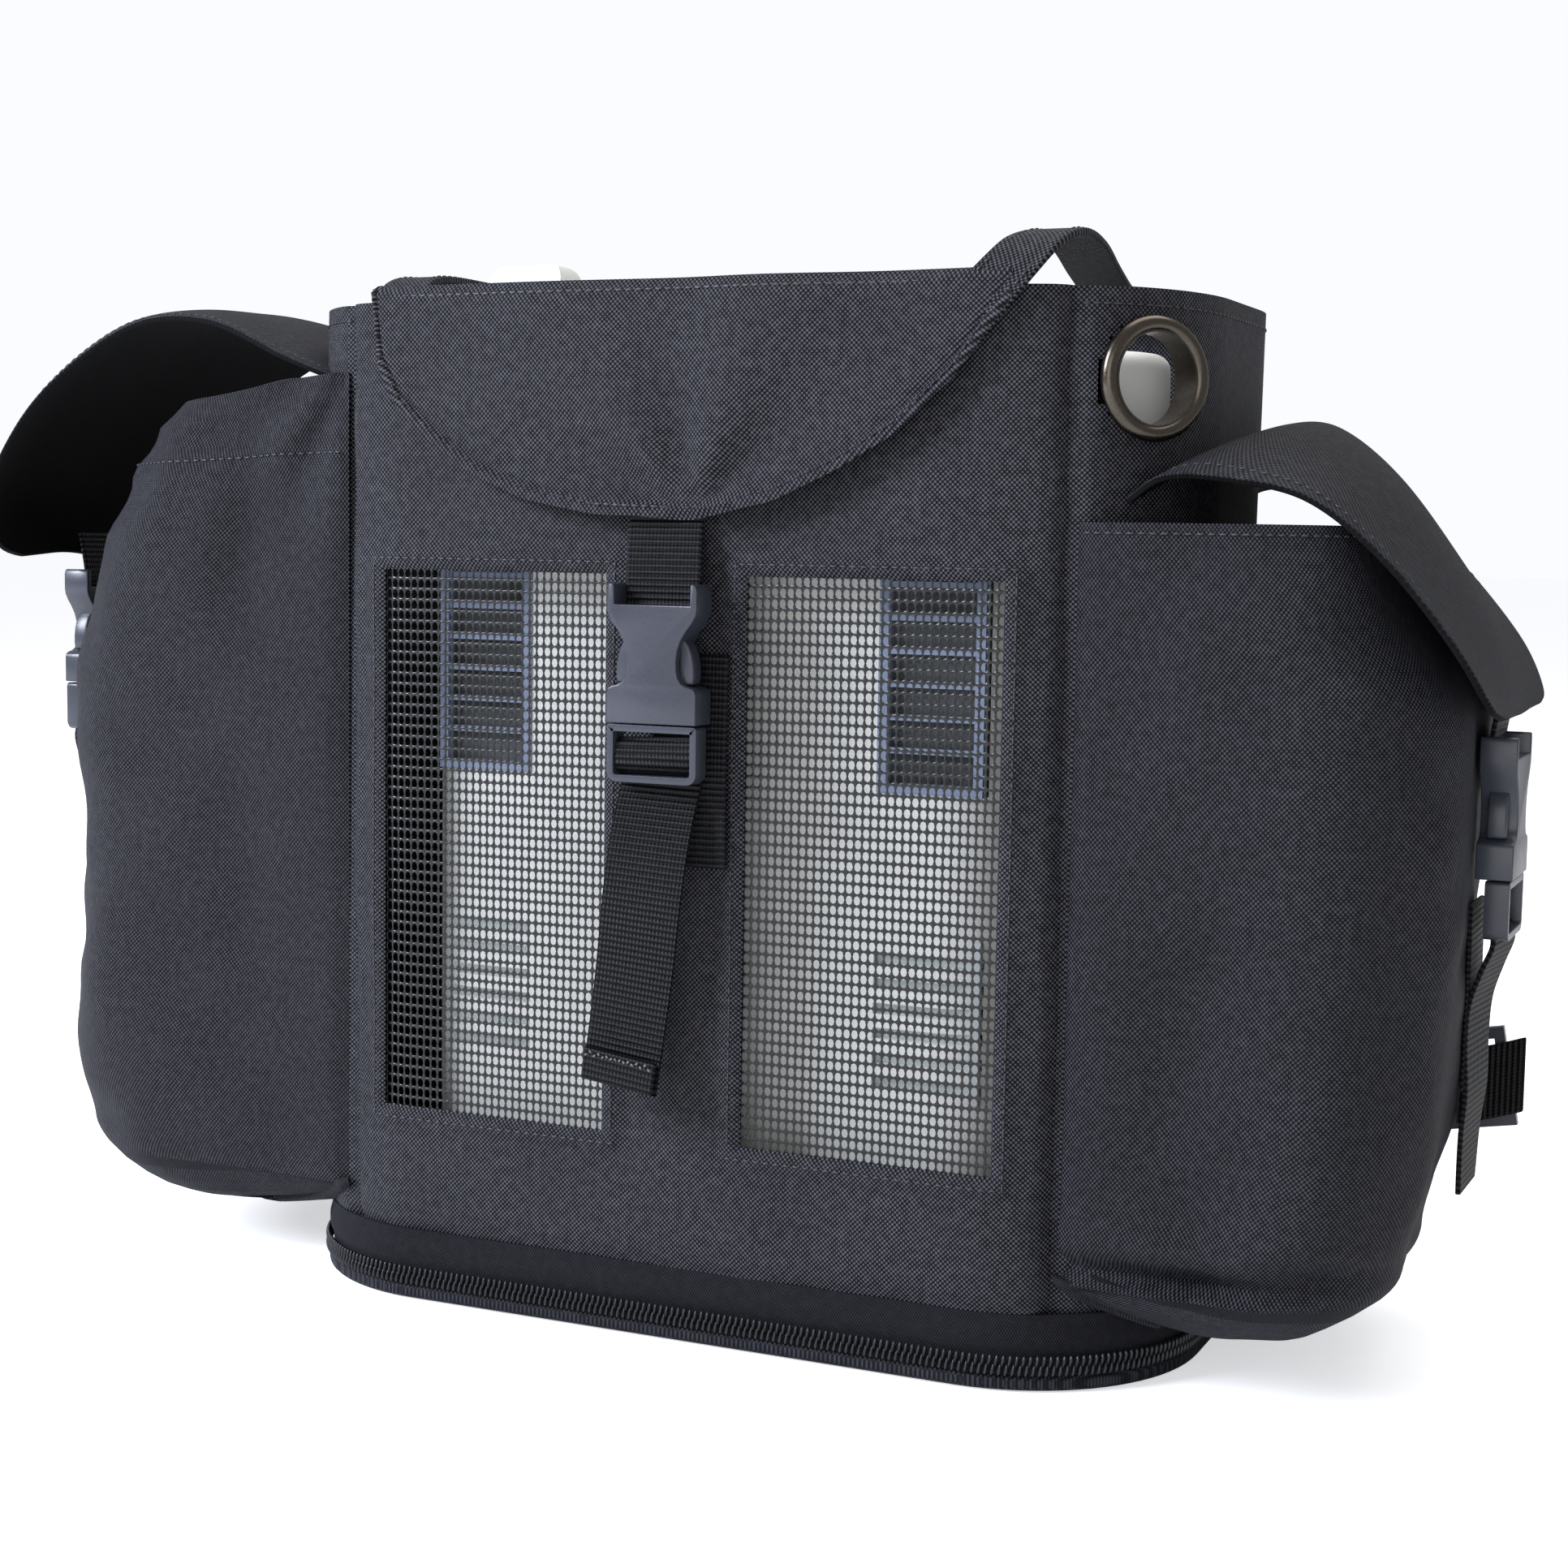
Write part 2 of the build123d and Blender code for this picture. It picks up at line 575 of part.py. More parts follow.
def tail_strap(tag, place, length):
    """Adjusting tail: it passes in front of the plug's crossbar, behind its end bar, and hangs."""
    bar_z = plug_bar_z()
    half = WEB_WIDTH / 2
    front = -BAR_DEPTH / 2 - BUCKLE_FIT
    back = BUCKLE_FIT
    turn = bar_z - BAR_HEIGHT / 2 - BUCKLE_FIT
    fold = block(-half, half, front - WEB_THICK, front, turn - WEB_THICK, bar_z + BAR_HEIGHT / 2)
    link = block(-half, half, front - WEB_THICK, back + WEB_THICK, turn - WEB_THICK, turn)
    hang = block(-half, half, back, back + WEB_THICK, bar_z - length, turn)
    hem = block(-half, half, back - WEB_THICK, back, bar_z - length, bar_z - length + TAIL_HEM)
    save(f"tail_strap_{tag}", place * (fold + link + hang + hem))


def upper_strap(tag, place, rise):
    """Webbing from the cover or flap down to the socket's slot, behind the socket's front."""
    half = WEB_WIDTH / 2
    y = BUCKLE_THICK / 2 - WEB_THICK - WEB_BEHIND_SOCKET
    strap = block(-half, half, y, y + WEB_THICK, -STRAP_INTO_SOCKET, rise)
    save(f"upper_strap_{tag}", place * strap)


def anchor_strap(tag, place, z0, z1, depth):
    """Webbing stitched flat on the bag behind the buckle."""
    half = WEB_WIDTH / 2
    save(f"anchor_strap_{tag}", place * block(-half, half, depth, depth + WEB_THICK, z0, z1))


def front_fastening():
    top = COVER_HEM_Z - TONGUE_DROP - FRONT_WEB_LENGTH
    back_y = -BODY_HALF_D - COVER_GAP - BUCKLE_FIT - BUCKLE_THICK / 2 - FRONT_STAND_OFF
    place = Location((0, back_y, top))
    buckle("front", place)
    tail_strap("front", place, FRONT_TAIL)
    upper_strap("front", place, FRONT_WEB_LENGTH + STRAP_INTO_SOCKET - 1)
    depth = -BODY_HALF_D - back_y - WEB_THICK - TRIM_FIT
    anchor = Location((FRONT_ANCHOR_X, back_y, top))
    anchor_strap("front", anchor, *FRONT_ANCHOR, depth)


def side_fastening(tag, side, section, tail, out, pocket_x):
    """Buckle on the outer face of a pocket; the place turns -Y outwards along X."""
    top = BODY_TOP + section[-1][1] - FLAP_TO_BUCKLE
    place = Location((side * (pocket_x + out), 0, top), (0, 0, side * 90))
    buckle(tag, place)
    tail_strap(tag, place, tail)
    upper_strap(tag, place, SIDE_RISE)
    depth = out - WEB_THICK - TRIM_FIT
    anchor_strap(tag, place, *SIDE_ANCHOR, depth)


def device_plan(inset=0.0):
    return RectangleRounded(
        2 * (DEVICE_HALF_W - inset), 2 * (DEVICE_HALF_D - inset), DEVICE_CORNER_R - inset
    )


def grille_opening(side, grow, y0, y1):
    x = side * GRILLE_X
    return block(
        x - GRILLE_WIDTH / 2 - grow, x + GRILLE_WIDTH / 2 + grow, y0, y1,
        GRILLE_BOTTOM - grow, GRILLE_BOTTOM + GRILLE_HEIGHT + grow,
    )


def device_shells():
    height = DEVICE_TOP - DEVICE_BOTTOM
    solid = Pos(0, 0, DEVICE_BOTTOM) * extrude(device_plan(), height)
    solid = fillet(solid.edges().group_by(Axis.Z)[-1], DEVICE_TOP_R)
    solid = fillet(solid.edges().group_by(Axis.Z)[0], DEVICE_FOOT_R)
    core = Pos(0, 0, DEVICE_BOTTOM + DEVICE_WALL) * extrude(
        device_plan(DEVICE_WALL), height - 2 * DEVICE_WALL
    )
    core = fillet(core.edges().group_by(Axis.Z)[-1], DEVICE_TOP_R - DEVICE_WALL)
    shell = solid - core
    for side in (1, -1):
        shell = shell - grille_opening(side, TRIM_FIT, -DEVICE_HALF_D - DEVICE_WALL, -DEVICE_HALF_D + 4 * DEVICE_WALL)
        for row in range(LOUVRE_COUNT):
            z = LOUVRE_BOTTOM + row * LOUVRE_PITCH
            shell = shell - block(
                side * GRILLE_X - LOUVRE_WIDTH / 2, side * GRILLE_X + LOUVRE_WIDTH / 2,
                -DEVICE_HALF_D - DEVICE_WALL, -DEVICE_HALF_D + 4 * DEVICE_WALL, z, z + LOUVRE_SLOT,
            )
    battery_hole = block(
        -BATTERY_WIDTH / 2 - BATTERY_FIT, BATTERY_WIDTH / 2 + BATTERY_FIT,
        battery_y() - BATTERY_DEPTH / 2 - BATTERY_FIT, battery_y() + BATTERY_DEPTH / 2 + BATTERY_FIT,
        DEVICE_TOP - PANEL_CUT, DEVICE_TOP + PANEL_CUT,
    )
    shell = shell - battery_hole
    panel_hole = block(
        -PANEL_HALF_W - TRIM_FIT, PANEL_HALF_W + TRIM_FIT,
        PANEL_Y - PANEL_HALF_D - TRIM_FIT, PANEL_Y + PANEL_HALF_D + TRIM_FIT,
        DEVICE_TOP - PANEL_CUT, DEVICE_TOP + PANEL_CUT,
    )
    shell = shell - panel_hole
    shell = shell - Pos(NOZZLE_X, NOZZLE_Y, DEVICE_TOP) * Cylinder(
        NOZZLE_R + FITTING_FLANGE + TRIM_FIT, PANEL_CUT
    )
    shell = shell - Pos(-NOZZLE_X, NOZZLE_Y, DEVICE_TOP) * Cylinder(
        DC_BORE_R + FITTING_FLANGE + TRIM_FIT, PANEL_CUT
    )
    reach = 2 * DEVICE_HALF_W
    front = shell & block(-reach, reach, -reach, DEVICE_SPLIT_Y, 0, 2 * DEVICE_TOP)
    rear = shell & block(-reach, reach, DEVICE_SPLIT_Y, reach, 0, 2 * DEVICE_TOP)
    save("housing_front", front)
    save("housing_rear", rear)


def battery_y():
    return DEVICE_HALF_D - BATTERY_REAR_ROOM - DEVICE_WALL - BATTERY_DEPTH / 2


def grilles():
    frames = []
    filters = []
    face = -DEVICE_HALF_D
    for side in (1, -1):
        opening = grille_opening(side, -GRILLE_FRAME, face - GRILLE_DEPTH, face + 2 * GRILLE_DEPTH)
        frame = grille_opening(side, 0, face - GRILLE_PROUD, face + GRILLE_DEPTH) - opening
        bars = int((GRILLE_HEIGHT - 2 * GRILLE_FRAME) / GRILLE_BAR_PITCH)
        for row in range(1, bars + 1):
            z = GRILLE_BOTTOM + GRILLE_FRAME + row * GRILLE_BAR_PITCH
            half = GRILLE_WIDTH / 2 - GRILLE_FRAME
            frame = frame + block(
                side * GRILLE_X - half, side * GRILLE_X + half, face, face + GRILLE_BAR,
                z - GRILLE_BAR / 2, z + GRILLE_BAR / 2,
            )
        frames.append(frame)
        filters.append(
            grille_opening(side, -TRIM_FIT, face + GRILLE_DEPTH, face + GRILLE_DEPTH + FILTER_THICK)
        )
    save("filter_frames", Compound(children=frames))
    save("air_filters", Compound(children=filters))


def device_handle():
    """Carry handle across the top: a round grip on two feet, with a raised boss on the left."""
    bar_z = HANDLE_TOP - HANDLE_GRIP_DROP - HANDLE_GRIP_R
    grip = Pos(0, HANDLE_Y, bar_z) * Rot(0, 90, 0) * Cylinder(HANDLE_GRIP_R, 2 * HANDLE_HALF_W)
    half_y = HANDLE_GRIP_R + HINGE_GAP
    feet = []
    for side, top in ((1, bar_z), (-1, HANDLE_TOP)):
        centre = side * (HANDLE_HALF_W - HANDLE_FOOT / 2)
        foot = block(
            centre - HANDLE_FOOT / 2, centre + HANDLE_FOOT / 2,
            HANDLE_Y - half_y, HANDLE_Y + half_y, DEVICE_TOP, top,
        )
        feet.append(fillet(foot.edges().group_by(Axis.Z)[-1], HANDLE_FOOT_R))
    save("device_handle", grip + feet[0] + feet[1])


def control_panel():
    z0 = DEVICE_TOP - PANEL_THICK
    face = DEVICE_TOP + PANEL_PROUD
    plate = block(
        -PANEL_HALF_W, PANEL_HALF_W, PANEL_Y - PANEL_HALF_D, PANEL_Y + PANEL_HALF_D, z0, face
    )
    pocket_depth = BUTTON_TRAVEL + BUTTON_FLOOR
    names = ("flow_down_button", "power_button", "flow_up_button")
    for index, name in enumerate(names):
        x = BUTTON_STEP * (index - 1) + BUTTON_X
        well = Pos(x, PANEL_Y, face) * Cylinder(BUTTON_R + BUTTON_FIT, 2 * pocket_depth)
        plate = plate - well
        low = face - pocket_depth + BUTTON_TRAVEL + BUTTON_CLEAR
        high = face + BUTTON_PROUD
        cap = Pos(x, PANEL_Y, (low + high) / 2) * Cylinder(BUTTON_R, high - low)
        save(name, fillet(cap.edges().group_by(Axis.Z)[-1], BUTTON_EDGE_R))
    y0 = PANEL_Y - SCREEN_HALF_D
    y1 = PANEL_Y + SCREEN_HALF_D
    screen = block(SCREEN_LEFT, SCREEN_RIGHT, y0, y1, face - SCREEN_THICK, face + SCREEN_THICK)
    save("control_panel", plate - screen)
    glass = block(
        SCREEN_LEFT + TRIM_FIT, SCREEN_RIGHT - TRIM_FIT, y0 + TRIM_FIT, y1 - TRIM_FIT,
        face - SCREEN_THICK, face,
    )
    save("display_window", glass)


def fittings():
    flange_r = NOZZLE_R + FITTING_FLANGE
    top = DEVICE_TOP + FITTING_RISE
    base = Pos(NOZZLE_X, NOZZLE_Y, top - FITTING_LENGTH / 2) * Cylinder(flange_r, FITTING_LENGTH)
    spout = Pos(NOZZLE_X, NOZZLE_Y, top + NOZZLE_LENGTH / 2) * Cylinder(NOZZLE_R, NOZZLE_LENGTH)
    save("outlet_nozzle", base + spout)
    body_length = DC_DEPTH + FITTING_RISE
    jack = Pos(-NOZZLE_X, NOZZLE_Y, top - body_length / 2)
    jack = jack * Cylinder(DC_BORE_R + FITTING_FLANGE, body_length)
    bore = Pos(-NOZZLE_X, NOZZLE_Y, top - DC_DEPTH / 2) * Cylinder(DC_BORE_R, DC_DEPTH)
    save("dc_inlet", jack - bore)


def battery():
    z1 = DEVICE_TOP + BATTERY_TOP_PROUD
    pack = block(
        -BATTERY_WIDTH / 2, BATTERY_WIDTH / 2,
        battery_y() - BATTERY_DEPTH / 2, battery_y() + BATTERY_DEPTH / 2,
        z1 - BATTERY_LENGTH, z1,
    )
    save("battery_pack", fillet(pack.edges().filter_by(Axis.Z), BATTERY_CORNER_R))


def internals():
    """Compressor with its fan, twin sieve beds and the control board inside the housing."""
    floor = DEVICE_BOTTOM + DEVICE_WALL
    axis_z = floor + COMPRESSOR_AXIS
    case = Pos(COMPRESSOR_X, COMPRESSOR_Y, axis_z - COMPRESSOR_SINK) * Box(*COMPRESSOR_CASE)
    head_z = floor + COMPRESSOR_CASE[2] + HEAD_HEIGHT / 2
    head = Pos(COMPRESSOR_X - HEAD_R / 2, COMPRESSOR_Y, head_z) * Cylinder(HEAD_R, HEAD_HEIGHT)
    fan_x = COMPRESSOR_X + FAN_FROM_CASE
    turned = Pos(fan_x, COMPRESSOR_Y, axis_z) * Rot(0, 90, 0)
    shaft = turned * Pos(0, 0, -SHAFT_R) * Cylinder(SHAFT_R, SHAFT_LENGTH)
    save("compressor", case + head + shaft)
    rotor = turned * Cylinder(FAN_HUB_R, FAN_HUB_LENGTH)
    for index in range(FAN_BLADES):
        blade = Pos(0, FAN_BLADE_REACH, 0) * Rot(0, FAN_PITCH, 0) * Box(*FAN_BLADE)
        place = Pos(fan_x, COMPRESSOR_Y, axis_z) * Rot(index * 360 / FAN_BLADES, 0, 0)
        rotor = rotor + place * blade
    save("fan_rotor", rotor - turned * Cylinder(SHAFT_R + SHAFT_FIT, 2 * SHAFT_LENGTH))
    beds = []
    bed_low = floor + BED_FLOOR
    bed_length = DEVICE_TOP - BED_HEAD_ROOM - bed_low
    for step in (0, 1):
        x = -DEVICE_HALF_W + BED_INSET + step * BED_STEP
        bed = Pos(x, BED_Y, bed_low + bed_length / 2) * Cylinder(BED_R, bed_length)
        beds.append(fillet(bed.edges(), BED_EDGE_R))
    save("sieve_beds", Compound(children=beds))
    x1 = DEVICE_HALF_W - BOARD_INSET
    x0 = x1 - BOARD_WIDTH
    low = floor + BOARD_FLOOR
    face = BOARD_Y + BOARD_THICK
    board = block(x0, x1, BOARD_Y, face, low, DEVICE_TOP - BOARD_HEAD_ROOM)
    for size, spot in ((CHIP_SMALL, CHIP_SMALL_AT), (CHIP_LARGE, CHIP_LARGE_AT)):
        left = x0 + spot[0]
        bottom = low + spot[1]
        board = board + block(left, left + size[0], face, face + size[1], bottom, bottom + size[2])
    save("circuit_board", board)


def shoulder_pads(back_y):
    top = BODY_TOP - PAD_BELOW_TOP
    for tag, side in (("right", 1), ("left", -1)):
        pad = block(
            side * PAD_X - PAD_WIDTH / 2, side * PAD_X + PAD_WIDTH / 2,
            back_y, back_y + PAD_THICK, PAD_BOTTOM, top,
        )
        pad = fillet(pad.edges().filter_by(Axis.Y), PAD_CORNER_R)
        save(f"shoulder_pad_{tag}", fillet(pad.faces().sort_by(Axis.Y)[-1].edges(), PAD_EDGE_R))


def lower_webbing(back_y):
    """Webbing from the foot of each pad out past the pocket, each with its flat slider."""
    webs = []
    sliders = []
    end_x = BODY_HALF_W + STRAP_END_OUT
    y0 = back_y + STRAP_STAND_OFF
    for side in (1, -1):
        inner = side * (PAD_X + PAD_WIDTH / 2 - STRAP_UNDER_PAD)
        outer = side * end_x
        high = STRAP_FOOT_Z + STRAP_RISE
        line = [(inner, STRAP_FOOT_Z), (outer, high), (outer, high + WEB_WIDTH)]
        line.append((inner, STRAP_FOOT_Z + WEB_WIDTH))
        face = make_face(Polyline(*line, close=True))
        webs.append(Pos(0, y0 + WEB_THICK, 0) * Rot(90, 0, 0) * extrude(face, WEB_THICK))
        centre = high - SLIDER_DROP + WEB_WIDTH / 2
        slider_y = y0 + WEB_THICK + TRIM_FIT + SLIDER_THICK / 2
        place = Pos(side * (end_x - SLIDER_FROM_END), slider_y, centre)
        plate = Box(SLIDER_HEIGHT, SLIDER_THICK, SLIDER_WIDTH)
        for slot in (1, -1):
            cut = Box(SLIDER_SLOT, 2 * SLIDER_THICK, WEB_WIDTH + BUCKLE_FIT)
            plate = plate - Pos(slot * SLIDER_SLOT, 0, 0) * cut
        sliders.append(place * Rot(0, -side * SLIDER_TILT, 0) * plate)
    save("lower_shoulder_webbing", Compound(children=webs))
    save("strap_sliders", Compound(children=sliders))


def haul_loop(back_y):
    loop = RectangleRounded(HAUL_WIDTH, HAUL_DROP, HAUL_CORNER_R) - RectangleRounded(
        HAUL_WIDTH - 2 * HAUL_WEB, HAUL_DROP - 2 * HAUL_WEB, HAUL_INNER_R
    )
    centre = BODY_TOP - HAUL_BELOW_TOP - HAUL_DROP / 2
    place = Pos(0, back_y + HAUL_THICK, centre) * Rot(90, 0, 0)
    save("haul_handle", place * extrude(loop, HAUL_THICK))


def main():
    os.makedirs("parts", exist_ok=True)
    bag_walls()
    bag_base()
    zip_slider()
    grommet()
    top_cover()
    pocket(
        "pocket_right", 1, POCKET_REACH_RIGHT, POCKET_MOUTH_RIGHT,
        POCKET_TOP_RIGHT,
    )
    pocket(
        "pocket_left", -1, POCKET_REACH_LEFT, POCKET_MOUTH_LEFT,
        POCKET_TOP_LEFT,
    )
    pocket_flaps()
    front_fastening()
    side_fastening(
        "right", 1, FLAP_SECTION_RIGHT, RIGHT_TAIL, RIGHT_BUCKLE_OUT, POCKET_REACH_RIGHT
    )
    side_fastening("left", -1, FLAP_SECTION_LEFT, LEFT_TAIL, LEFT_BUCKLE_OUT, POCKET_REACH_LEFT)
    device_shells()
    grilles()
    device_handle()
    control_panel()
    fittings()
    battery()
    internals()
    back_y = BODY_HALF_D + TRIM_FIT
    shoulder_pads(back_y)
    lower_webbing(back_y)
    haul_loop(back_y)


main()
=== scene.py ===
# %% [markdown]
# A small oxygen concentrator lives in a woven nylon carry bag. The CAD model gives every
# piece its place and size. Here each piece gets its looks: cloth is draped and stitched,
# plastics and metals get their real finishes. Sizes in these cells are millimetres, as on a
# maker's drawing, and the helpers turn them to metres where a mesh is made.

# %% Load the CAD frame
import math
import bpy
from mathutils import Matrix, Vector, noise


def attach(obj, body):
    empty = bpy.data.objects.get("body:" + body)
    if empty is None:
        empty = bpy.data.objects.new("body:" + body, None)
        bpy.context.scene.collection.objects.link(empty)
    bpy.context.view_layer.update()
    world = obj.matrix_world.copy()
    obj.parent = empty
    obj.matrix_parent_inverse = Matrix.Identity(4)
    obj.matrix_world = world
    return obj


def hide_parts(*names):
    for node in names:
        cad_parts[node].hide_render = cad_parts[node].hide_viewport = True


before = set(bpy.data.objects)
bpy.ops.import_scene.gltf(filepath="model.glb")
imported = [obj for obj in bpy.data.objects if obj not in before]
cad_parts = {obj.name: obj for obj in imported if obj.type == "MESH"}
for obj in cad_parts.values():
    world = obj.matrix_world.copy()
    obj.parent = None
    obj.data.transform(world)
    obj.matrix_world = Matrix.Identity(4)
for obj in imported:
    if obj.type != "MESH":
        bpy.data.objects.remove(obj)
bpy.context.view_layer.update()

MM = 0.001

# %% [markdown]
# A camera, a pale floor and big soft lamps come first, so that each later piece can be
# judged as soon as it is made. The camera stands a little to the right of the bag and
# slightly above it. The lamps are large, because cloth shows its weave best in soft light
# that comes from one side more than the other.

# %% Camera
CAMERA_PLACE = (0.3393, -0.7572, 0.2482)
CAMERA_YAW = math.radians(23.98)
CAMERA_PITCH = math.radians(90 - 5.49)
CAMERA_ROLL = math.radians(0.92)
camera_data = bpy.data.cameras.new("camera")
camera_data.sensor_width = 36.0
camera_data.lens = 57.15
camera = bpy.data.objects.new("camera", camera_data)
bpy.context.collection.objects.link(camera)
camera.matrix_world = (
    Matrix.Translation(CAMERA_PLACE)
    @ Matrix.Rotation(CAMERA_YAW, 4, "Z")
    @ Matrix.Rotation(CAMERA_PITCH, 4, "X")
    @ Matrix.Rotation(CAMERA_ROLL, 4, "Z")
)
bpy.context.scene.camera = camera
bpy.context.scene.view_settings.view_transform = "Standard"
print("camera at", CAMERA_PLACE)


# %% Colour and node helpers
def srgb(code):
    """A hex colour, as a colour picker gives it, turned to the linear values shaders use."""
    parts = [int(code[i : i + 2], 16) / 255 for i in (1, 3, 5)]
    linear = [c / 12.92 if c <= 0.04045 else ((c + 0.055) / 1.055) ** 2.4 for c in parts]
    return (*linear, 1.0)


def node(tree, kind, settings=None, **links):
    """Add a node. settings are its properties; links are its inputs, by name or number."""
    made = tree.nodes.new(kind)
    for name, value in (settings or {}).items():
        setattr(made, name, value)
    for name, value in links.items():
        key = int(name[1:]) if name[1:].isdigit() else name.replace("_", " ")
        socket = made.inputs[key]
        if isinstance(value, bpy.types.NodeSocket):
            tree.links.new(value, socket)
        else:
            socket.default_value = value
    return made


def new_material(name, **shader_values):
    """A material with one Principled shader, and its node tree."""
    material = bpy.data.materials.new(name)
    material.use_nodes = True
    tree = material.node_tree
    shader = tree.nodes["Principled BSDF"]
    for key, value in shader_values.items():
        shader.inputs[key.replace("_", " ")].default_value = value
    return material, tree, shader


def maths(tree, operation, *values):
    """The result of a Math node on its values."""
    inputs = {f"i{k}": value for k, value in enumerate(values)}
    return node(tree, "ShaderNodeMath", {"operation": operation}, **inputs).outputs[0]


def flecks(tree, coords, scale, detail=2.0, roughness=0.5):
    """Fine noise, from 0 to 1."""
    made = node(tree, "ShaderNodeTexNoise", Vector=coords, Scale=scale, Detail=detail,
                Roughness=roughness)
    return made.outputs["Fac"]


def between(tree, share, dark, light, low=0.0, high=1.0):
    """A colour that goes from dark, where share is low, to light, where it is high."""
    ramp = node(tree, "ShaderNodeValToRGB", Fac=share)
    for stop, position, code in zip(ramp.color_ramp.elements, (low, high), (dark, light)):
        stop.position = position
        stop.color = srgb(code)
    return ramp.outputs["Color"]


def surface_coords(tree, kind):
    """The cloth's own UV map, or object coordinates for a moulded piece."""
    return node(tree, "ShaderNodeTexCoord").outputs[kind]


def flecked_material(name, dark, light, scale, roughness):
    """A plain finish whose colour drifts between two tones in fine flecks."""
    material, tree, shader = new_material(name, Roughness=roughness)
    share = flecks(tree, surface_coords(tree, "Object"), scale)
    tree.links.new(between(tree, share, dark, light), shader.inputs["Base Color"])
    return material


# %% Floor and lamps
bpy.ops.mesh.primitive_plane_add(size=60, location=(0, 0, -0.0004))
floor = bpy.context.object
floor.name = "studio_floor"
floor_paint, floor_tree, floor_shader = new_material("floor_paper", Roughness=0.9)
floor_shader.inputs["Base Color"].default_value = srgb("#fafafa")
floor_shader.inputs["Emission Color"].default_value = srgb("#fbfcff")
floor.data.materials.append(floor_paint)

world = bpy.data.worlds.new("studio")
bpy.context.scene.world = world
world.use_nodes = True
world.node_tree.nodes["Background"].inputs["Color"].default_value = srgb("#fbfcff")


def seen_level(tree, shed, seen):
    """A strength that is one value as a light, and another where it is looked at."""
    ray_kind = node(tree, "ShaderNodeLightPath")
    return node(tree, "ShaderNodeMapRange", Value=ray_kind.outputs["Is Camera Ray"],
                To_Min=shed, To_Max=seen).outputs[0]


# sky and floor are seen as white paper right out to where they meet, and shed a softer light
SKY_LIGHT = 0.42
world.node_tree.links.new(
    seen_level(world.node_tree, SKY_LIGHT, 1.0),
    world.node_tree.nodes["Background"].inputs["Strength"],
)
floor_tree.links.new(
    seen_level(floor_tree, 0.0, 1.0 - SKY_LIGHT), floor_shader.inputs["Emission Strength"]
)


def lamp(name, place, aim, size, watts, tint):
    """A square soft lamp at place, turned towards aim."""
    data = bpy.data.lights.new(name, "AREA")
    data.size = size
    data.energy = watts
    data.color = srgb(tint)[:3]
    obj = bpy.data.objects.new(name, data)
    obj.location = place
    obj.rotation_euler = (Vector(aim) - Vector(place)).to_track_quat("-Z", "Y").to_euler()
    bpy.context.collection.objects.link(obj)


lamp("key_window", (-1.6, -1.5, 1.4), (0, 0, 0.16), 1.0, 98, "#e9efff")
lamp("fill_front", (0.5, -2.4, 0.7), (0, 0, 0.16), 1.6, 14, "#ffffff")
lamp("top_soft", (0.3, 0.5, 2.0), (0, 0, 0.2), 1.6, 20, "#fffdf8")
print("floor, sky and lamps ready")


# %% [markdown]
# Almost everything here is woven nylon of about 1000 denier in a plain weave. Each thread
# pair takes about 1.2 mm. The weave is two sets of waves at right angles, read from the
# cloth's own UV map, which is laid out in metres, so the threads follow the cloth as it
# bends. Where the two waves agree a thread comes to the top and stands up, and its colour is
# painted lighter there, a painted highlight; between the threads it is painted dark, painted
# shade.

# %% Woven nylon
# the real pair is nearer 1.2 mm, and is drawn a little coarser so that it shows
THREAD_PAIR = 1.5 * MM
WAVE_TURN = 2 * math.pi / 20


def wave(tree, coords, direction, pitch):
    """Even waves along one direction, from 0 to 1."""
    settings = {"bands_direction": direction, "wave_profile": "SIN"}
    made = node(tree, "ShaderNodeTexWave", settings, Vector=coords, Scale=WAVE_TURN / pitch)
    return made.outputs["Fac"]


def weave_height(tree, coords, pair_x, pair_y):
    """Height of a plain weave, from 0 in the gaps to 1 on top of a thread."""
    warp = maths(tree, "SUBTRACT", wave(tree, coords, "X", pair_x), 0.5)
    weft = maths(tree, "SUBTRACT", wave(tree, coords, "Y", pair_y), 0.5)
    return maths(tree, "MULTIPLY_ADD", maths(tree, "MULTIPLY", warp, weft), 2.0, 0.5)


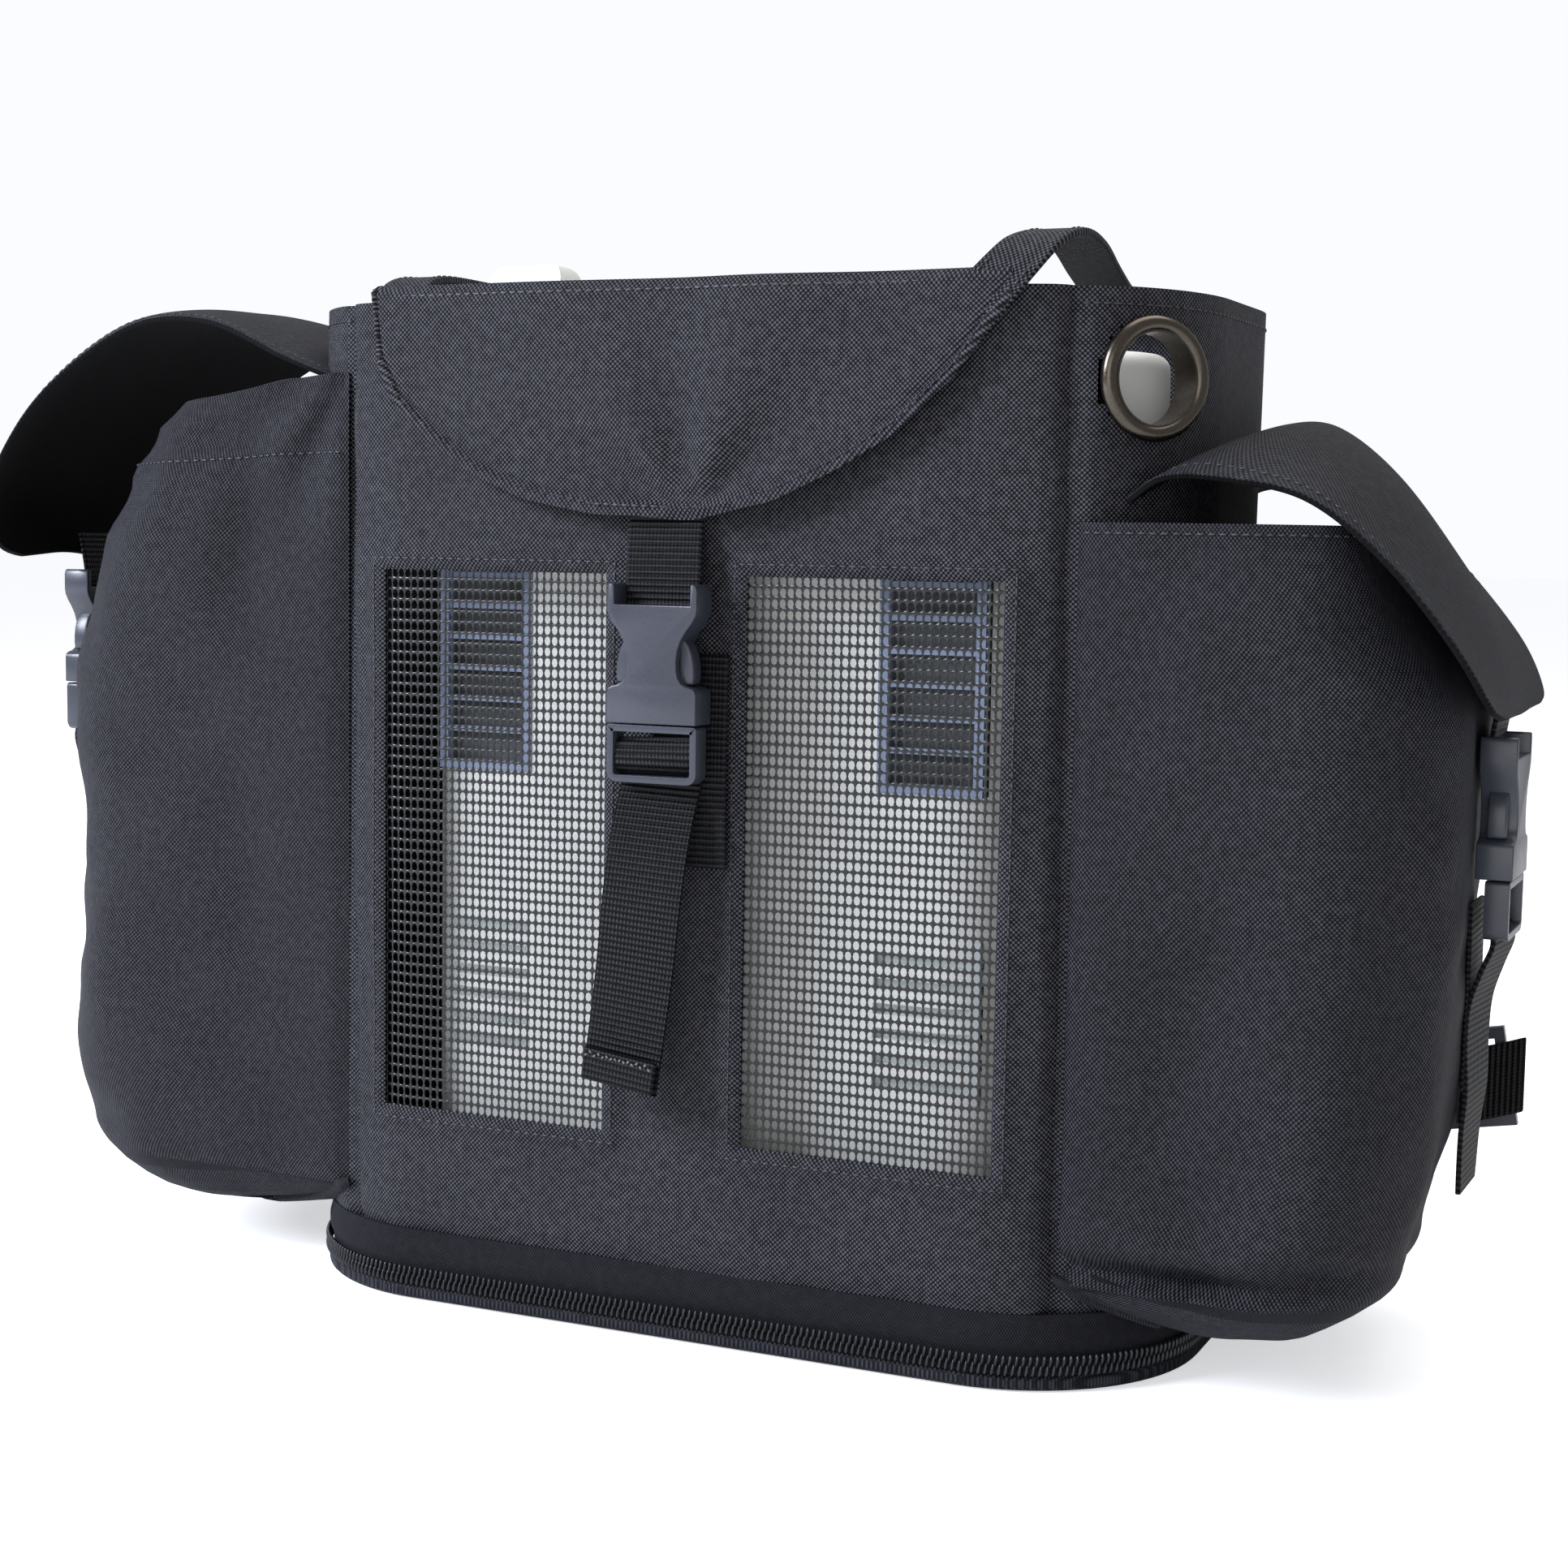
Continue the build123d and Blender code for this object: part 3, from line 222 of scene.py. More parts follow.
def rib_height(tree, coords, pair_x, rib):
    """Height of ribbed webbing: round ribs across it, with fine threads over each."""
    threads = maths(tree, "MULTIPLY", wave(tree, coords, "X", pair_x), 0.25)
    return maths(tree, "MULTIPLY_ADD", wave(tree, coords, "Y", rib), 0.8, threads)
def cloth_material(
    name, gap, thread, pair_x, pair_y, bump_mm, roughness, sheen, kind="UV", ribbed=False
):
    """Woven cloth: gap and thread are its darkest and lightest colours, painted shade in the gaps
    and a painted highlight on the thread tops.
    """
    material, tree, shader = new_material(
        name, Roughness=roughness, Sheen_Weight=sheen, Sheen_Roughness=0.5
    )
    shader.inputs["Sheen Tint"].default_value = srgb("#c4cbe0")
    shader.inputs["Specular IOR Level"].default_value = 0.14
    coords = surface_coords(tree, kind)
    height = (rib_height if ribbed else weave_height)(tree, coords, pair_x, pair_y)
    slub = maths(tree, "MULTIPLY_ADD", flecks(tree, coords, 0.35 / MM, 2.0, 0.6), 0.5, -0.25)
    relief_and_shade = maths(tree, "ADD", height, slub)
    # Colour drifts lighter and darker in random patches about 30 mm across.
    patch_level = maths(tree, "MULTIPLY_ADD", flecks(tree, coords, 0.03 / MM, 3.0), 0.5, 0.75)
    # The colour follows the weave's height: painted shade down in the gaps, a painted highlight on
    # the thread tops.
    colour = node(tree, "ShaderNodeVectorMath", {"operation": "SCALE"},
                  i0=between(tree, relief_and_shade, gap, thread, 0.42, 0.84), Scale=patch_level)
    tree.links.new(colour.outputs[0], shader.inputs["Base Color"])
    bump = node(tree, "ShaderNodeBump", Height=relief_and_shade, Distance=bump_mm * MM, Strength=0.8)
    tree.links.new(bump.outputs[0], shader.inputs["Normal"])
    return material
woven_nylon = cloth_material(
    "woven_nylon", "#030304", "#525259", THREAD_PAIR, THREAD_PAIR, 0.50, 0.56, 0.02
)
# The pockets and flaps use the bag's cloth with darker threads: painted shade, so they show darker
# than the front.
shaded_nylon = cloth_material(
    "shaded_nylon", "#030304", "#424249", THREAD_PAIR, THREAD_PAIR, 0.50, 0.58, 0.02
)
lining_nylon = cloth_material(
    "lining_nylon", "#040405", "#0c0c0e", THREAD_PAIR, THREAD_PAIR, 0.15, 0.85, 0.0
)
# The zip tape is a herringbone twill, finer than the panels, and duller.
zip_twill = cloth_material(
    "zip_twill", "#08080a", "#26262c", 0.9 * MM, 1.4 * MM, 0.15, 0.8, 0.03
)
# Webbing is woven in ribs across its width, about 1.9 mm apart, with a clear sheen.
strap_webbing = cloth_material(
    "strap_webbing", "#020203", "#222224", 1.2 * MM, 1.9 * MM, 0.8, 0.48, 0.02, "UV", True
)
print("cloth materials:", woven_nylon.name, zip_twill.name, strap_webbing.name)


# %% [markdown]
# The bag body is a tube with a rounded-rectangle plan. A point on it is named by how far
# round the tube it lies from the middle of the front, and by its height. That is also how
# the cloth was cut, so the same two numbers serve as its UV map.

# %% Plan of the bag body
HALF_W, HALF_D, CORNER_R = 154.0, 78.0, 60.0
STRAIGHT_W, STRAIGHT_D = HALF_W - CORNER_R, HALF_D - CORNER_R
CORNER_RUN = CORNER_R * math.pi / 2
QUARTER = STRAIGHT_W + CORNER_RUN + STRAIGHT_D
SEAM_RUN = STRAIGHT_W + CORNER_R * math.asin((122.5 - STRAIGHT_W) / CORNER_R)


def round_body(run, out=0.0):
    """Place (x, y) on the body's plan: run round it from the front's middle, out from it."""
    run = (run + 2 * QUARTER) % (4 * QUARTER) - 2 * QUARTER
    side = 1 if run >= 0 else -1
    run = abs(run)
    back = run > QUARTER
    if back:
        run = 2 * QUARTER - run
    if run <= STRAIGHT_W:
        x, y = run, -(HALF_D + out)
    elif run <= STRAIGHT_W + CORNER_RUN:
        turn = (run - STRAIGHT_W) / CORNER_R
        x = STRAIGHT_W + (CORNER_R + out) * math.sin(turn)
        y = -STRAIGHT_D - (CORNER_R + out) * math.cos(turn)
    else:
        x, y = HALF_W + out, -(QUARTER - run)
    return side * x, -y if back else y


def ripple(a, b, seed, size, depth):
    """Slow unevenness of slack cloth: size is how far apart its swells lie."""
    return depth * noise.noise(Vector((a / size, b / size, seed)))


def spaced(low, high, step, marks=()):
    """Values from low to high about a step apart, with each mark among them."""
    ends = sorted({low, high, *[m for m in marks if low < m < high]})
    values = []
    for a, b in zip(ends, ends[1:]):
        count = max(1, round((b - a) / step))
        values += [a + (b - a) * i / count for i in range(count)]
    return values + [high]


print("body perimeter", round(4 * QUARTER), "mm")


# %% [markdown]
# Every sheet of cloth starts as a flat grid. Its points are then laid in place by a rule,
# as a tailor pins cloth on a form. Solidify gives the thickness afterwards. The UV map is
# set to the real cut size of the sheet.

# %% Cloth sheets
def pick(obj):
    """Make obj the only selected object."""
    bpy.ops.object.select_all(action="DESELECT")
    obj.select_set(True)
    bpy.context.view_layer.objects.active = obj


def pinned_sheet(name, us, vs, place):
    """A grid whose point (u, v) is laid at place(u, v), in millimetres."""
    bpy.ops.mesh.primitive_grid_add(
        x_subdivisions=len(us) - 1, y_subdivisions=len(vs) - 1, size=1
    )
    obj = bpy.context.object
    obj.name = name
    obj.data.name = name
    rows = {}
    for vertex in obj.data.vertices:
        i = round((vertex.co.x + 0.5) * (len(us) - 1))
        j = round((vertex.co.y + 0.5) * (len(vs) - 1))
        rows[vertex.index] = (us[i], vs[j])
        vertex.co = Vector(place(us[i], vs[j])) * MM
    for loop, uv in zip(obj.data.loops, obj.data.uv_layers[0].data):
        u, v = rows[loop.vertex_index]
        uv.uv = (u * MM, v * MM)
    return obj


def cut_out(obj, inside):
    """Delete the faces whose middle, in UV millimetres, lies inside."""
    pick(obj)
    bpy.ops.object.mode_set(mode="EDIT")
    bpy.ops.mesh.select_mode(type="FACE")
    bpy.ops.object.mode_set(mode="OBJECT")
    uvs = obj.data.uv_layers[0].data
    for polygon in obj.data.polygons:
        middle = [sum(uvs[i].uv[k] for i in polygon.loop_indices) for k in (0, 1)]
        u, v = [m / len(polygon.loop_indices) / MM for m in middle]
        polygon.select = inside(u, v)
    bpy.ops.object.mode_set(mode="EDIT")
    bpy.ops.mesh.delete(type="FACE")
    bpy.ops.object.mode_set(mode="OBJECT")
def thicken(obj, thick, offset=-1.0, levels=0):
    """Give a sheet its thickness, and smooth it."""
    solid = obj.modifiers.new("thickness", "SOLIDIFY")
    solid.thickness = thick * MM
    solid.offset = offset
    pick(obj)
    bpy.ops.object.modifier_apply(modifier="thickness")
    if levels:
        smooth = obj.modifiers.new("smooth", "SUBSURF")
        smooth.levels = levels
        smooth.render_levels = levels
    bpy.ops.object.shade_smooth_by_angle(angle=math.radians(50))
    return obj


def dress(obj, material, body, *nodes):
    """Give a piece its material, the body it rides on and the CAD nodes it stands for."""
    obj.data.materials.clear()
    obj.data.materials.append(material)
    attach(obj, body)
    if nodes:
        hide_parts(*nodes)
    return obj


# %% [markdown]
# A lockstitch row is a line of small raised beads, each about 2.6 mm long with a 0.7 mm gap.
# One bead is modelled and then repeated along the row. A row has a few hundred beads, so a
# bead has few faces.

# %% Stitches
bonded_thread = flecked_material("bonded_thread", "#101013", "#3c3c42", 3000.0, 0.45)


def small_ball(segments, rings, bend=tuple):
    """Points and faces of a small ball, each point moved by bend."""
    bpy.ops.mesh.primitive_uv_sphere_add(segments=segments, ring_count=rings, radius=1)
    ball = bpy.context.object
    points = [Vector(bend(v.co)) for v in ball.data.vertices]
    faces = [tuple(p.vertices) for p in ball.data.polygons]
    bpy.data.objects.remove(ball)
    return points, faces


BEAD_POINTS, BEAD_FACES = small_ball(6, 4)
def repeated(name, points, faces, places):
    """One mesh that holds a copy of a small shape at each place, a 4x4 matrix in mm."""
    all_points, all_faces = [], []
    for place in places:
        first = len(all_points)
        all_points += [place @ p * MM for p in points]
        all_faces += [tuple(first + i for i in face) for face in faces]
    mesh = bpy.data.meshes.new(name)
    mesh.from_pydata(all_points, [], all_faces)
    mesh.update()
    obj = bpy.data.objects.new(name, mesh)
    bpy.context.collection.objects.link(obj)
    pick(obj)
    bpy.ops.object.shade_smooth()
    return obj


def walk(points, step):
    """Places a step apart along a line of points, each with the direction of travel."""
    found, carry = [], 0.0
    for a, b in zip(points, points[1:]):
        leg = b - a
        length = leg.length
        if length < 1e-6:
            continue
        at = carry
        while at < length:
            found.append((a + leg * (at / length), leg / length))
            at += step
        carry = at - length
    return found


def stitch_row(name, points, outward, body, long=2.6, material=None):
    """A row of stitches on the line of points. outward(p) is the cloth's facing there."""
    places = []
    for spot, along in walk([Vector(p) for p in points], long + 0.7):
        facing = Vector(outward(spot)).normalized()
        across = facing.cross(along).normalized()
        turn = Matrix((along * long / 2, across * 0.38, facing * 0.33)).transposed()
        places.append(Matrix.Translation(spot) @ turn.to_4x4())
    row = repeated(name, BEAD_POINTS, BEAD_FACES, places)
    return dress(row, material or bonded_thread, body)


print("bead faces:", len(BEAD_FACES))

# %% [markdown]
# The front panel is one piece of cloth with two windows cut in it. Round each window the
# cloth is folded under and stitched, which makes a soft raised border. The panel swells a
# little between its seams, and it rolls inwards at the side seams and at the base.

# %% Front panel
WINDOW_IN, WINDOW_OUT = 24.0, STRAIGHT_W + CORNER_R * math.asin(11 / CORNER_R)
WINDOW_LOW, WINDOW_HIGH = 64.0, 238.5
BASE_SEAM, BODY_TOP = 21.0, 323.0
CLOTH = 1.6


def near(value, target, reach):
    """1 at the target, falling softly to 0 by about twice the reach."""
    return math.exp(-(((value - target) / reach) ** 2))


def window_gap(run, z):
    """How far a point of the front lies outside the nearer window's edge."""
    across = max(WINDOW_IN - abs(run), abs(run) - WINDOW_OUT)
    up = max(WINDOW_LOW - z, z - WINDOW_HIGH)
    return math.hypot(max(across, 0), max(up, 0)) if max(across, up) > 0 else max(across, up)


def front_out(run, z):
    """How far the front panel stands out from the plan."""
    gap = window_gap(run, z)
    border = 0.9 * near(gap, 3.5, 3.0) - 0.8 * near(gap, 0, 1.2) - 0.5 * near(gap, 8.5, 2.0)
    seam = -3.0 * near(abs(run), SEAM_RUN, 3.0) - 2.2 * near(z, BASE_SEAM, 4.0)
    slack = ripple(run, z * 0.6, 3.1, 50, 2.2) + ripple(run, z, 7.7, 24, 0.9)
    return border + seam + slack * min(1, max(gap, 0) / 12)


window_marks = [s * w for s in (-1, 1) for w in (WINDOW_IN, WINDOW_OUT)]
BORDER = (-9, -6, -3.5, -1.5, 0, 1.5, 3.5, 6, 9)
run_marks = [m + d for m in window_marks for d in BORDER]
height_marks = [m + d for m in (WINDOW_LOW, WINDOW_HIGH) for d in BORDER]
front = pinned_sheet(
    "front_cloth",
    spaced(-SEAM_RUN, SEAM_RUN, 3.0, run_marks),
    spaced(BASE_SEAM, BODY_TOP, 3.0, height_marks + [BASE_SEAM + 2, BASE_SEAM + 4]),
    lambda run, z: (*round_body(run, front_out(run, z)), z),
)
cut_out(front, lambda run, z: window_gap(run, z) < 0)
thicken(front, CLOTH)
dress(front, woven_nylon, "carrier", "front_panel")
print("front panel faces:", len(front.data.polygons))

# %% Window stitching
STITCH_IN = 3.6
for side in (-1, 1):
    edge_in, edge_out = WINDOW_IN - STITCH_IN, WINDOW_OUT + STITCH_IN
    low, high = WINDOW_LOW - STITCH_IN, WINDOW_HIGH + STITCH_IN
    corners = [(edge_in, low), (edge_out, low), (edge_out, high), (edge_in, high), (edge_in, low)]
    line = []
    for (a0, b0), (a1, b1) in zip(corners, corners[1:]):
        for i in range(40):
            run, z = a0 + (a1 - a0) * i / 40, b0 + (b1 - b0) * i / 40
            line.append((*round_body(side * run, front_out(side * run, z) + 0.05), z))
    stitch_row(f"window_stitch_{'left' if side < 0 else 'right'}", line, lambda p: (0, -1, 0),
               "carrier")
print("window stitching sewn")

# %% [markdown]
# The windows are vinyl-coated mesh: glossy black strands that cross every 2.6 mm across and
# 3.4 mm up. A grid with one face per hole goes through the Wireframe modifier, which turns
# its edges to strands, and one subdivision rounds them.

# %% Window mesh
coated_vinyl = flecked_material("coated_vinyl", "#030404", "#101413", 900.0, 0.28)
HOLES_ACROSS, HOLES_UP = 32, 52
MESH_LAP, STRAND = 0.5, 0.66
MESH_UP = WINDOW_HIGH - WINDOW_LOW + 2 * MESH_LAP
for side, tag in ((1, "right"), (-1, "left")):
    low_run, high_run = sorted((side * (WINDOW_IN - MESH_LAP), side * (WINDOW_OUT + MESH_LAP)))
    mesh_sheet = pinned_sheet(
        f"window_mesh_{tag}_strands",
        [low_run + (high_run - low_run) * i / HOLES_ACROSS for i in range(HOLES_ACROSS + 1)],
        [WINDOW_LOW - MESH_LAP + MESH_UP * i / HOLES_UP for i in range(HOLES_UP + 1)],
        lambda run, z: (*round_body(run, -1.9 + ripple(run, z, 5.5, 60, 0.6)), z),
    )
    strands = mesh_sheet.modifiers.new("strands", "WIREFRAME")
    strands.thickness = STRAND * MM
    strands.use_boundary = True
    strands.use_even_offset = False
    pick(mesh_sheet)
    bpy.ops.object.modifier_apply(modifier="strands")
    rounding = mesh_sheet.modifiers.new("rounding", "SUBSURF")
    rounding.levels = rounding.render_levels = 1
    bpy.ops.object.modifier_apply(modifier="rounding")
    bpy.ops.object.shade_smooth()
    dress(mesh_sheet, coated_vinyl, "carrier", f"window_mesh_{tag}")
    print(mesh_sheet.name, "faces", len(mesh_sheet.data.polygons))

# %% [markdown]
# The side and back panels are the same tube carried on round the corners. The right side
# has a round hole near its top, where the metal grommet clamps the cloth.

# %% Side and back panels
GROMMET_RUN = STRAIGHT_W + CORNER_R * math.radians(50)
GROMMET_Z = 297.0
BACK_SEAM_RUN = 2 * QUARTER - SEAM_RUN


def side_out(run, z):
    """How far a side or back panel stands out from the plan."""
    seams = near(abs(run), SEAM_RUN, 3.0) + near(abs(run), BACK_SEAM_RUN, 3.0)
    slack = ripple(run, z * 0.5, 9.3, 50, 1.2) - 0.4
    held = 1 - near(math.hypot(abs(run) - GROMMET_RUN, z - GROMMET_Z), 0, 26)
    tucked = min(abs(run) - SEAM_RUN, BACK_SEAM_RUN - abs(run)) < 0
    return -2.4 * seams - 2.2 * near(z, BASE_SEAM, 4.0) + slack * held - 2.2 * tucked


for tag, side in (("right", 1), ("left", -1)):
    panel = pinned_sheet(
        f"side_cloth_{tag}",
        spaced(*sorted((side * (SEAM_RUN - 3), side * (BACK_SEAM_RUN + 3))), 3.2),
        spaced(BASE_SEAM, BODY_TOP, 3.2, [BODY_TOP - 1.5]),
        lambda run, z: (*round_body(run, side_out(run, z)), z),
    )
    if side > 0:
        cut_out(panel, lambda run, z: math.hypot(run - GROMMET_RUN, z - GROMMET_Z) < 15.6)
    thicken(panel, CLOTH)
    dress(panel, woven_nylon, "carrier", f"side_panel_{tag}")
    hem = [(*round_body(side * run, side_out(side * run, 318) + 0.1), BODY_TOP - 5)
           for run in spaced(SEAM_RUN + 3, BACK_SEAM_RUN - 3, 3)]
    stitch_row(f"side_hem_stitch_{tag}", hem, lambda p: (p.x, p.y * 2, 0), "carrier")

back = pinned_sheet(
    "back_cloth",
    spaced(BACK_SEAM_RUN, 4 * QUARTER - BACK_SEAM_RUN, 3.5),
    spaced(BASE_SEAM, BODY_TOP, 3.5),
    lambda run, z: (*round_body(run, -2.4 * near(run, BACK_SEAM_RUN, 3.0)
                                - 2.4 * near(run, 4 * QUARTER - BACK_SEAM_RUN, 3.0)
                                + ripple(run, z * 0.5, 9.3, 50, 1.0) - 0.5
                                - 2.2 * near(z, BASE_SEAM, 4.0)), z),
)
thicken(back, CLOTH)
dress(back, woven_nylon, "carrier", "back_panel")
print("side and back panels laid")

# %% [markdown]
# Round the bottom runs a heavy coil zip. Its tape is a twill band, tucked in under the bag's
# hem, and its teeth are loops of nylon that lean over in turn from above and below. One
# tooth is modelled and repeated every 2 mm round the bag, twice, half a step apart. Below
# them the base is a stiff board covered in the bag's cloth.

# %% Zip tape and base
tape = pinned_sheet(
    "zip_tape_cloth",
    spaced(-2 * QUARTER, 2 * QUARTER, 4.0),
    [3.2, 4.5, 7.0, 9.5, 11.5, 14.0, 17.0, 19.5, 21.0, 23.0],
    lambda run, z: (*round_body(run, -1.2 - 0.6 * near(z, 8, 3) + 1.1 * near(z, 15.5, 3.0)), z),
)
thicken(tape, 1.0)
dress(tape, zip_twill, "carrier", "zip_tape_band")

def round_edges(obj, width, segments, angle):
    """Bevel the edges that turn by more than an angle in degrees."""
    bevel = obj.modifiers.new("rounded", "BEVEL")
    bevel.width = width * MM
    bevel.segments = segments
    bevel.angle_limit = math.radians(angle)
    bpy.ops.object.modifier_apply(modifier="rounded")


def slab(name, outline, shift, edge, angle, hole=None):
    """Fill an outline of points, extrude it by shift and round its edges."""
    bpy.ops.mesh.primitive_circle_add(vertices=len(outline), radius=1, fill_type="NGON")
    obj = bpy.context.object
    obj.name = name
    for vertex, point in zip(obj.data.vertices, outline):
        vertex.co = Vector(point) * MM
    bpy.ops.object.mode_set(mode="EDIT")
    bpy.ops.mesh.select_all(action="SELECT")
    if hole:
        bpy.ops.mesh.inset(thickness=hole * MM, depth=0)
        bpy.ops.mesh.delete(type="FACE")
        bpy.ops.mesh.select_all(action="SELECT")
    bpy.ops.mesh.extrude_region_move(
        TRANSFORM_OT_translate={"value": [part * MM for part in shift]}
    )
    bpy.ops.mesh.select_all(action="SELECT")
    bpy.ops.mesh.normals_make_consistent(inside=False)
    bpy.ops.object.mode_set(mode="OBJECT")
    round_edges(obj, edge, 3, angle)
    return obj


BASE_TOP, BASE_POINTS = 4.6, 180
base_board = slab(
    "base_cloth",
    [(*round_body(4 * QUARTER * k / BASE_POINTS, -0.2), BASE_TOP) for k in range(BASE_POINTS)],
    (0, 0, -BASE_TOP), 1.5, 50,
)
bpy.ops.object.shade_smooth_by_angle(angle=math.radians(40))
base_nylon = cloth_material(
    "base_nylon", "#0c0c0f", "#34353c", THREAD_PAIR, THREAD_PAIR, 0.25, 0.7, 0.05, "Object"
)
dress(base_board, base_nylon, "base", "base_panel")
print("base board faces:", len(base_board.data.polygons))

# %% Zip coil
nylon_coil = flecked_material("nylon_coil", "#0b0c0d", "#2b2c30", 700.0, 0.32)
TOOTH_PITCH = 2.0


def lean(point):
    """The loop's outer end is fatter where the coil turns over, and it leans along the zip."""
    x, y, z = point
    return x * (0.55 + 0.18 * z) + 0.35 * z, y * (0.9 + 0.15 * z), z * 1.9


TOOTH_POINTS, TOOTH_FACES = small_ball(8, 6, lean)
teeth = []
count = round(4 * QUARTER / TOOTH_PITCH)
for index in range(count):
    run = 4 * QUARTER * index / count
    x, y = round_body(run)
    if y > 71:
        continue
    ahead = Vector((*round_body(run + 0.5), 0)) - Vector((x, y, 0))
    facing = math.atan2(ahead.y, ahead.x)
    for half, z, up in ((0.0, 9.3, 1), (0.5, 6.7, -1)):
        spot = Vector((*round_body(run + half * TOOTH_PITCH, 0.2), z))
        flip = Matrix.Rotation(math.pi if up < 0 else 0, 4, "Y")
        teeth.append(Matrix.Translation(spot) @ Matrix.Rotation(facing, 4, "Z") @ flip)
coil = repeated("zip_coil_teeth", TOOTH_POINTS, TOOTH_FACES, teeth)
dress(coil, nylon_coil, "carrier", "zip_coil")
print("zip teeth:", len(teeth), "faces:", len(coil.data.polygons))


# %% [markdown]
# Each end of the bag has a big gusseted pocket. It is a shell that starts at the front seam,
# runs out and round the end, comes back to the rear seam, and closes underneath in a soft
# sagging bottom. The loft is one sheet: its rows go from the folded hem at the mouth down
# the wall, round the bottom edge and in to the bag.

# %% Pockets
def smooth_path(points, t):
    """A point at t, from 0 to 1, on a Catmull-Rom curve through the points."""
    last = len(points) - 1
    at = min(max(t, 0), 1) * last
    i = min(int(at), last - 1)
    f = at - i
    p = [Vector(points[min(max(k, 0), last)]) for k in (i - 1, i, i + 1, i + 2)]
    return 0.5 * (
        2 * p[1] + (p[2] - p[0]) * f
        + (2 * p[0] - 5 * p[1] + 4 * p[2] - p[3]) * f * f
        + (3 * p[1] - p[0] - 3 * p[2] + p[3]) * f ** 3
    )


def reach_at(profile, z):
    """Pocket reach at height z, from a list of (z, reach)."""
    for (z0, x0), (z1, x1) in zip(profile, profile[1:]):
        if z <= z1:
            f = max(0, (z - z0) / (z1 - z0))
            return x0 + (x1 - x0) * f * f * (3 - 2 * f)
    return profile[-1][1]


POCKET_ROOT, POCKET_MIDDLE = 124.0, 165.0
POCKET_DEPTH, POCKET_CORNER, POCKET_TURN = 70.0, 40.0, 16.0


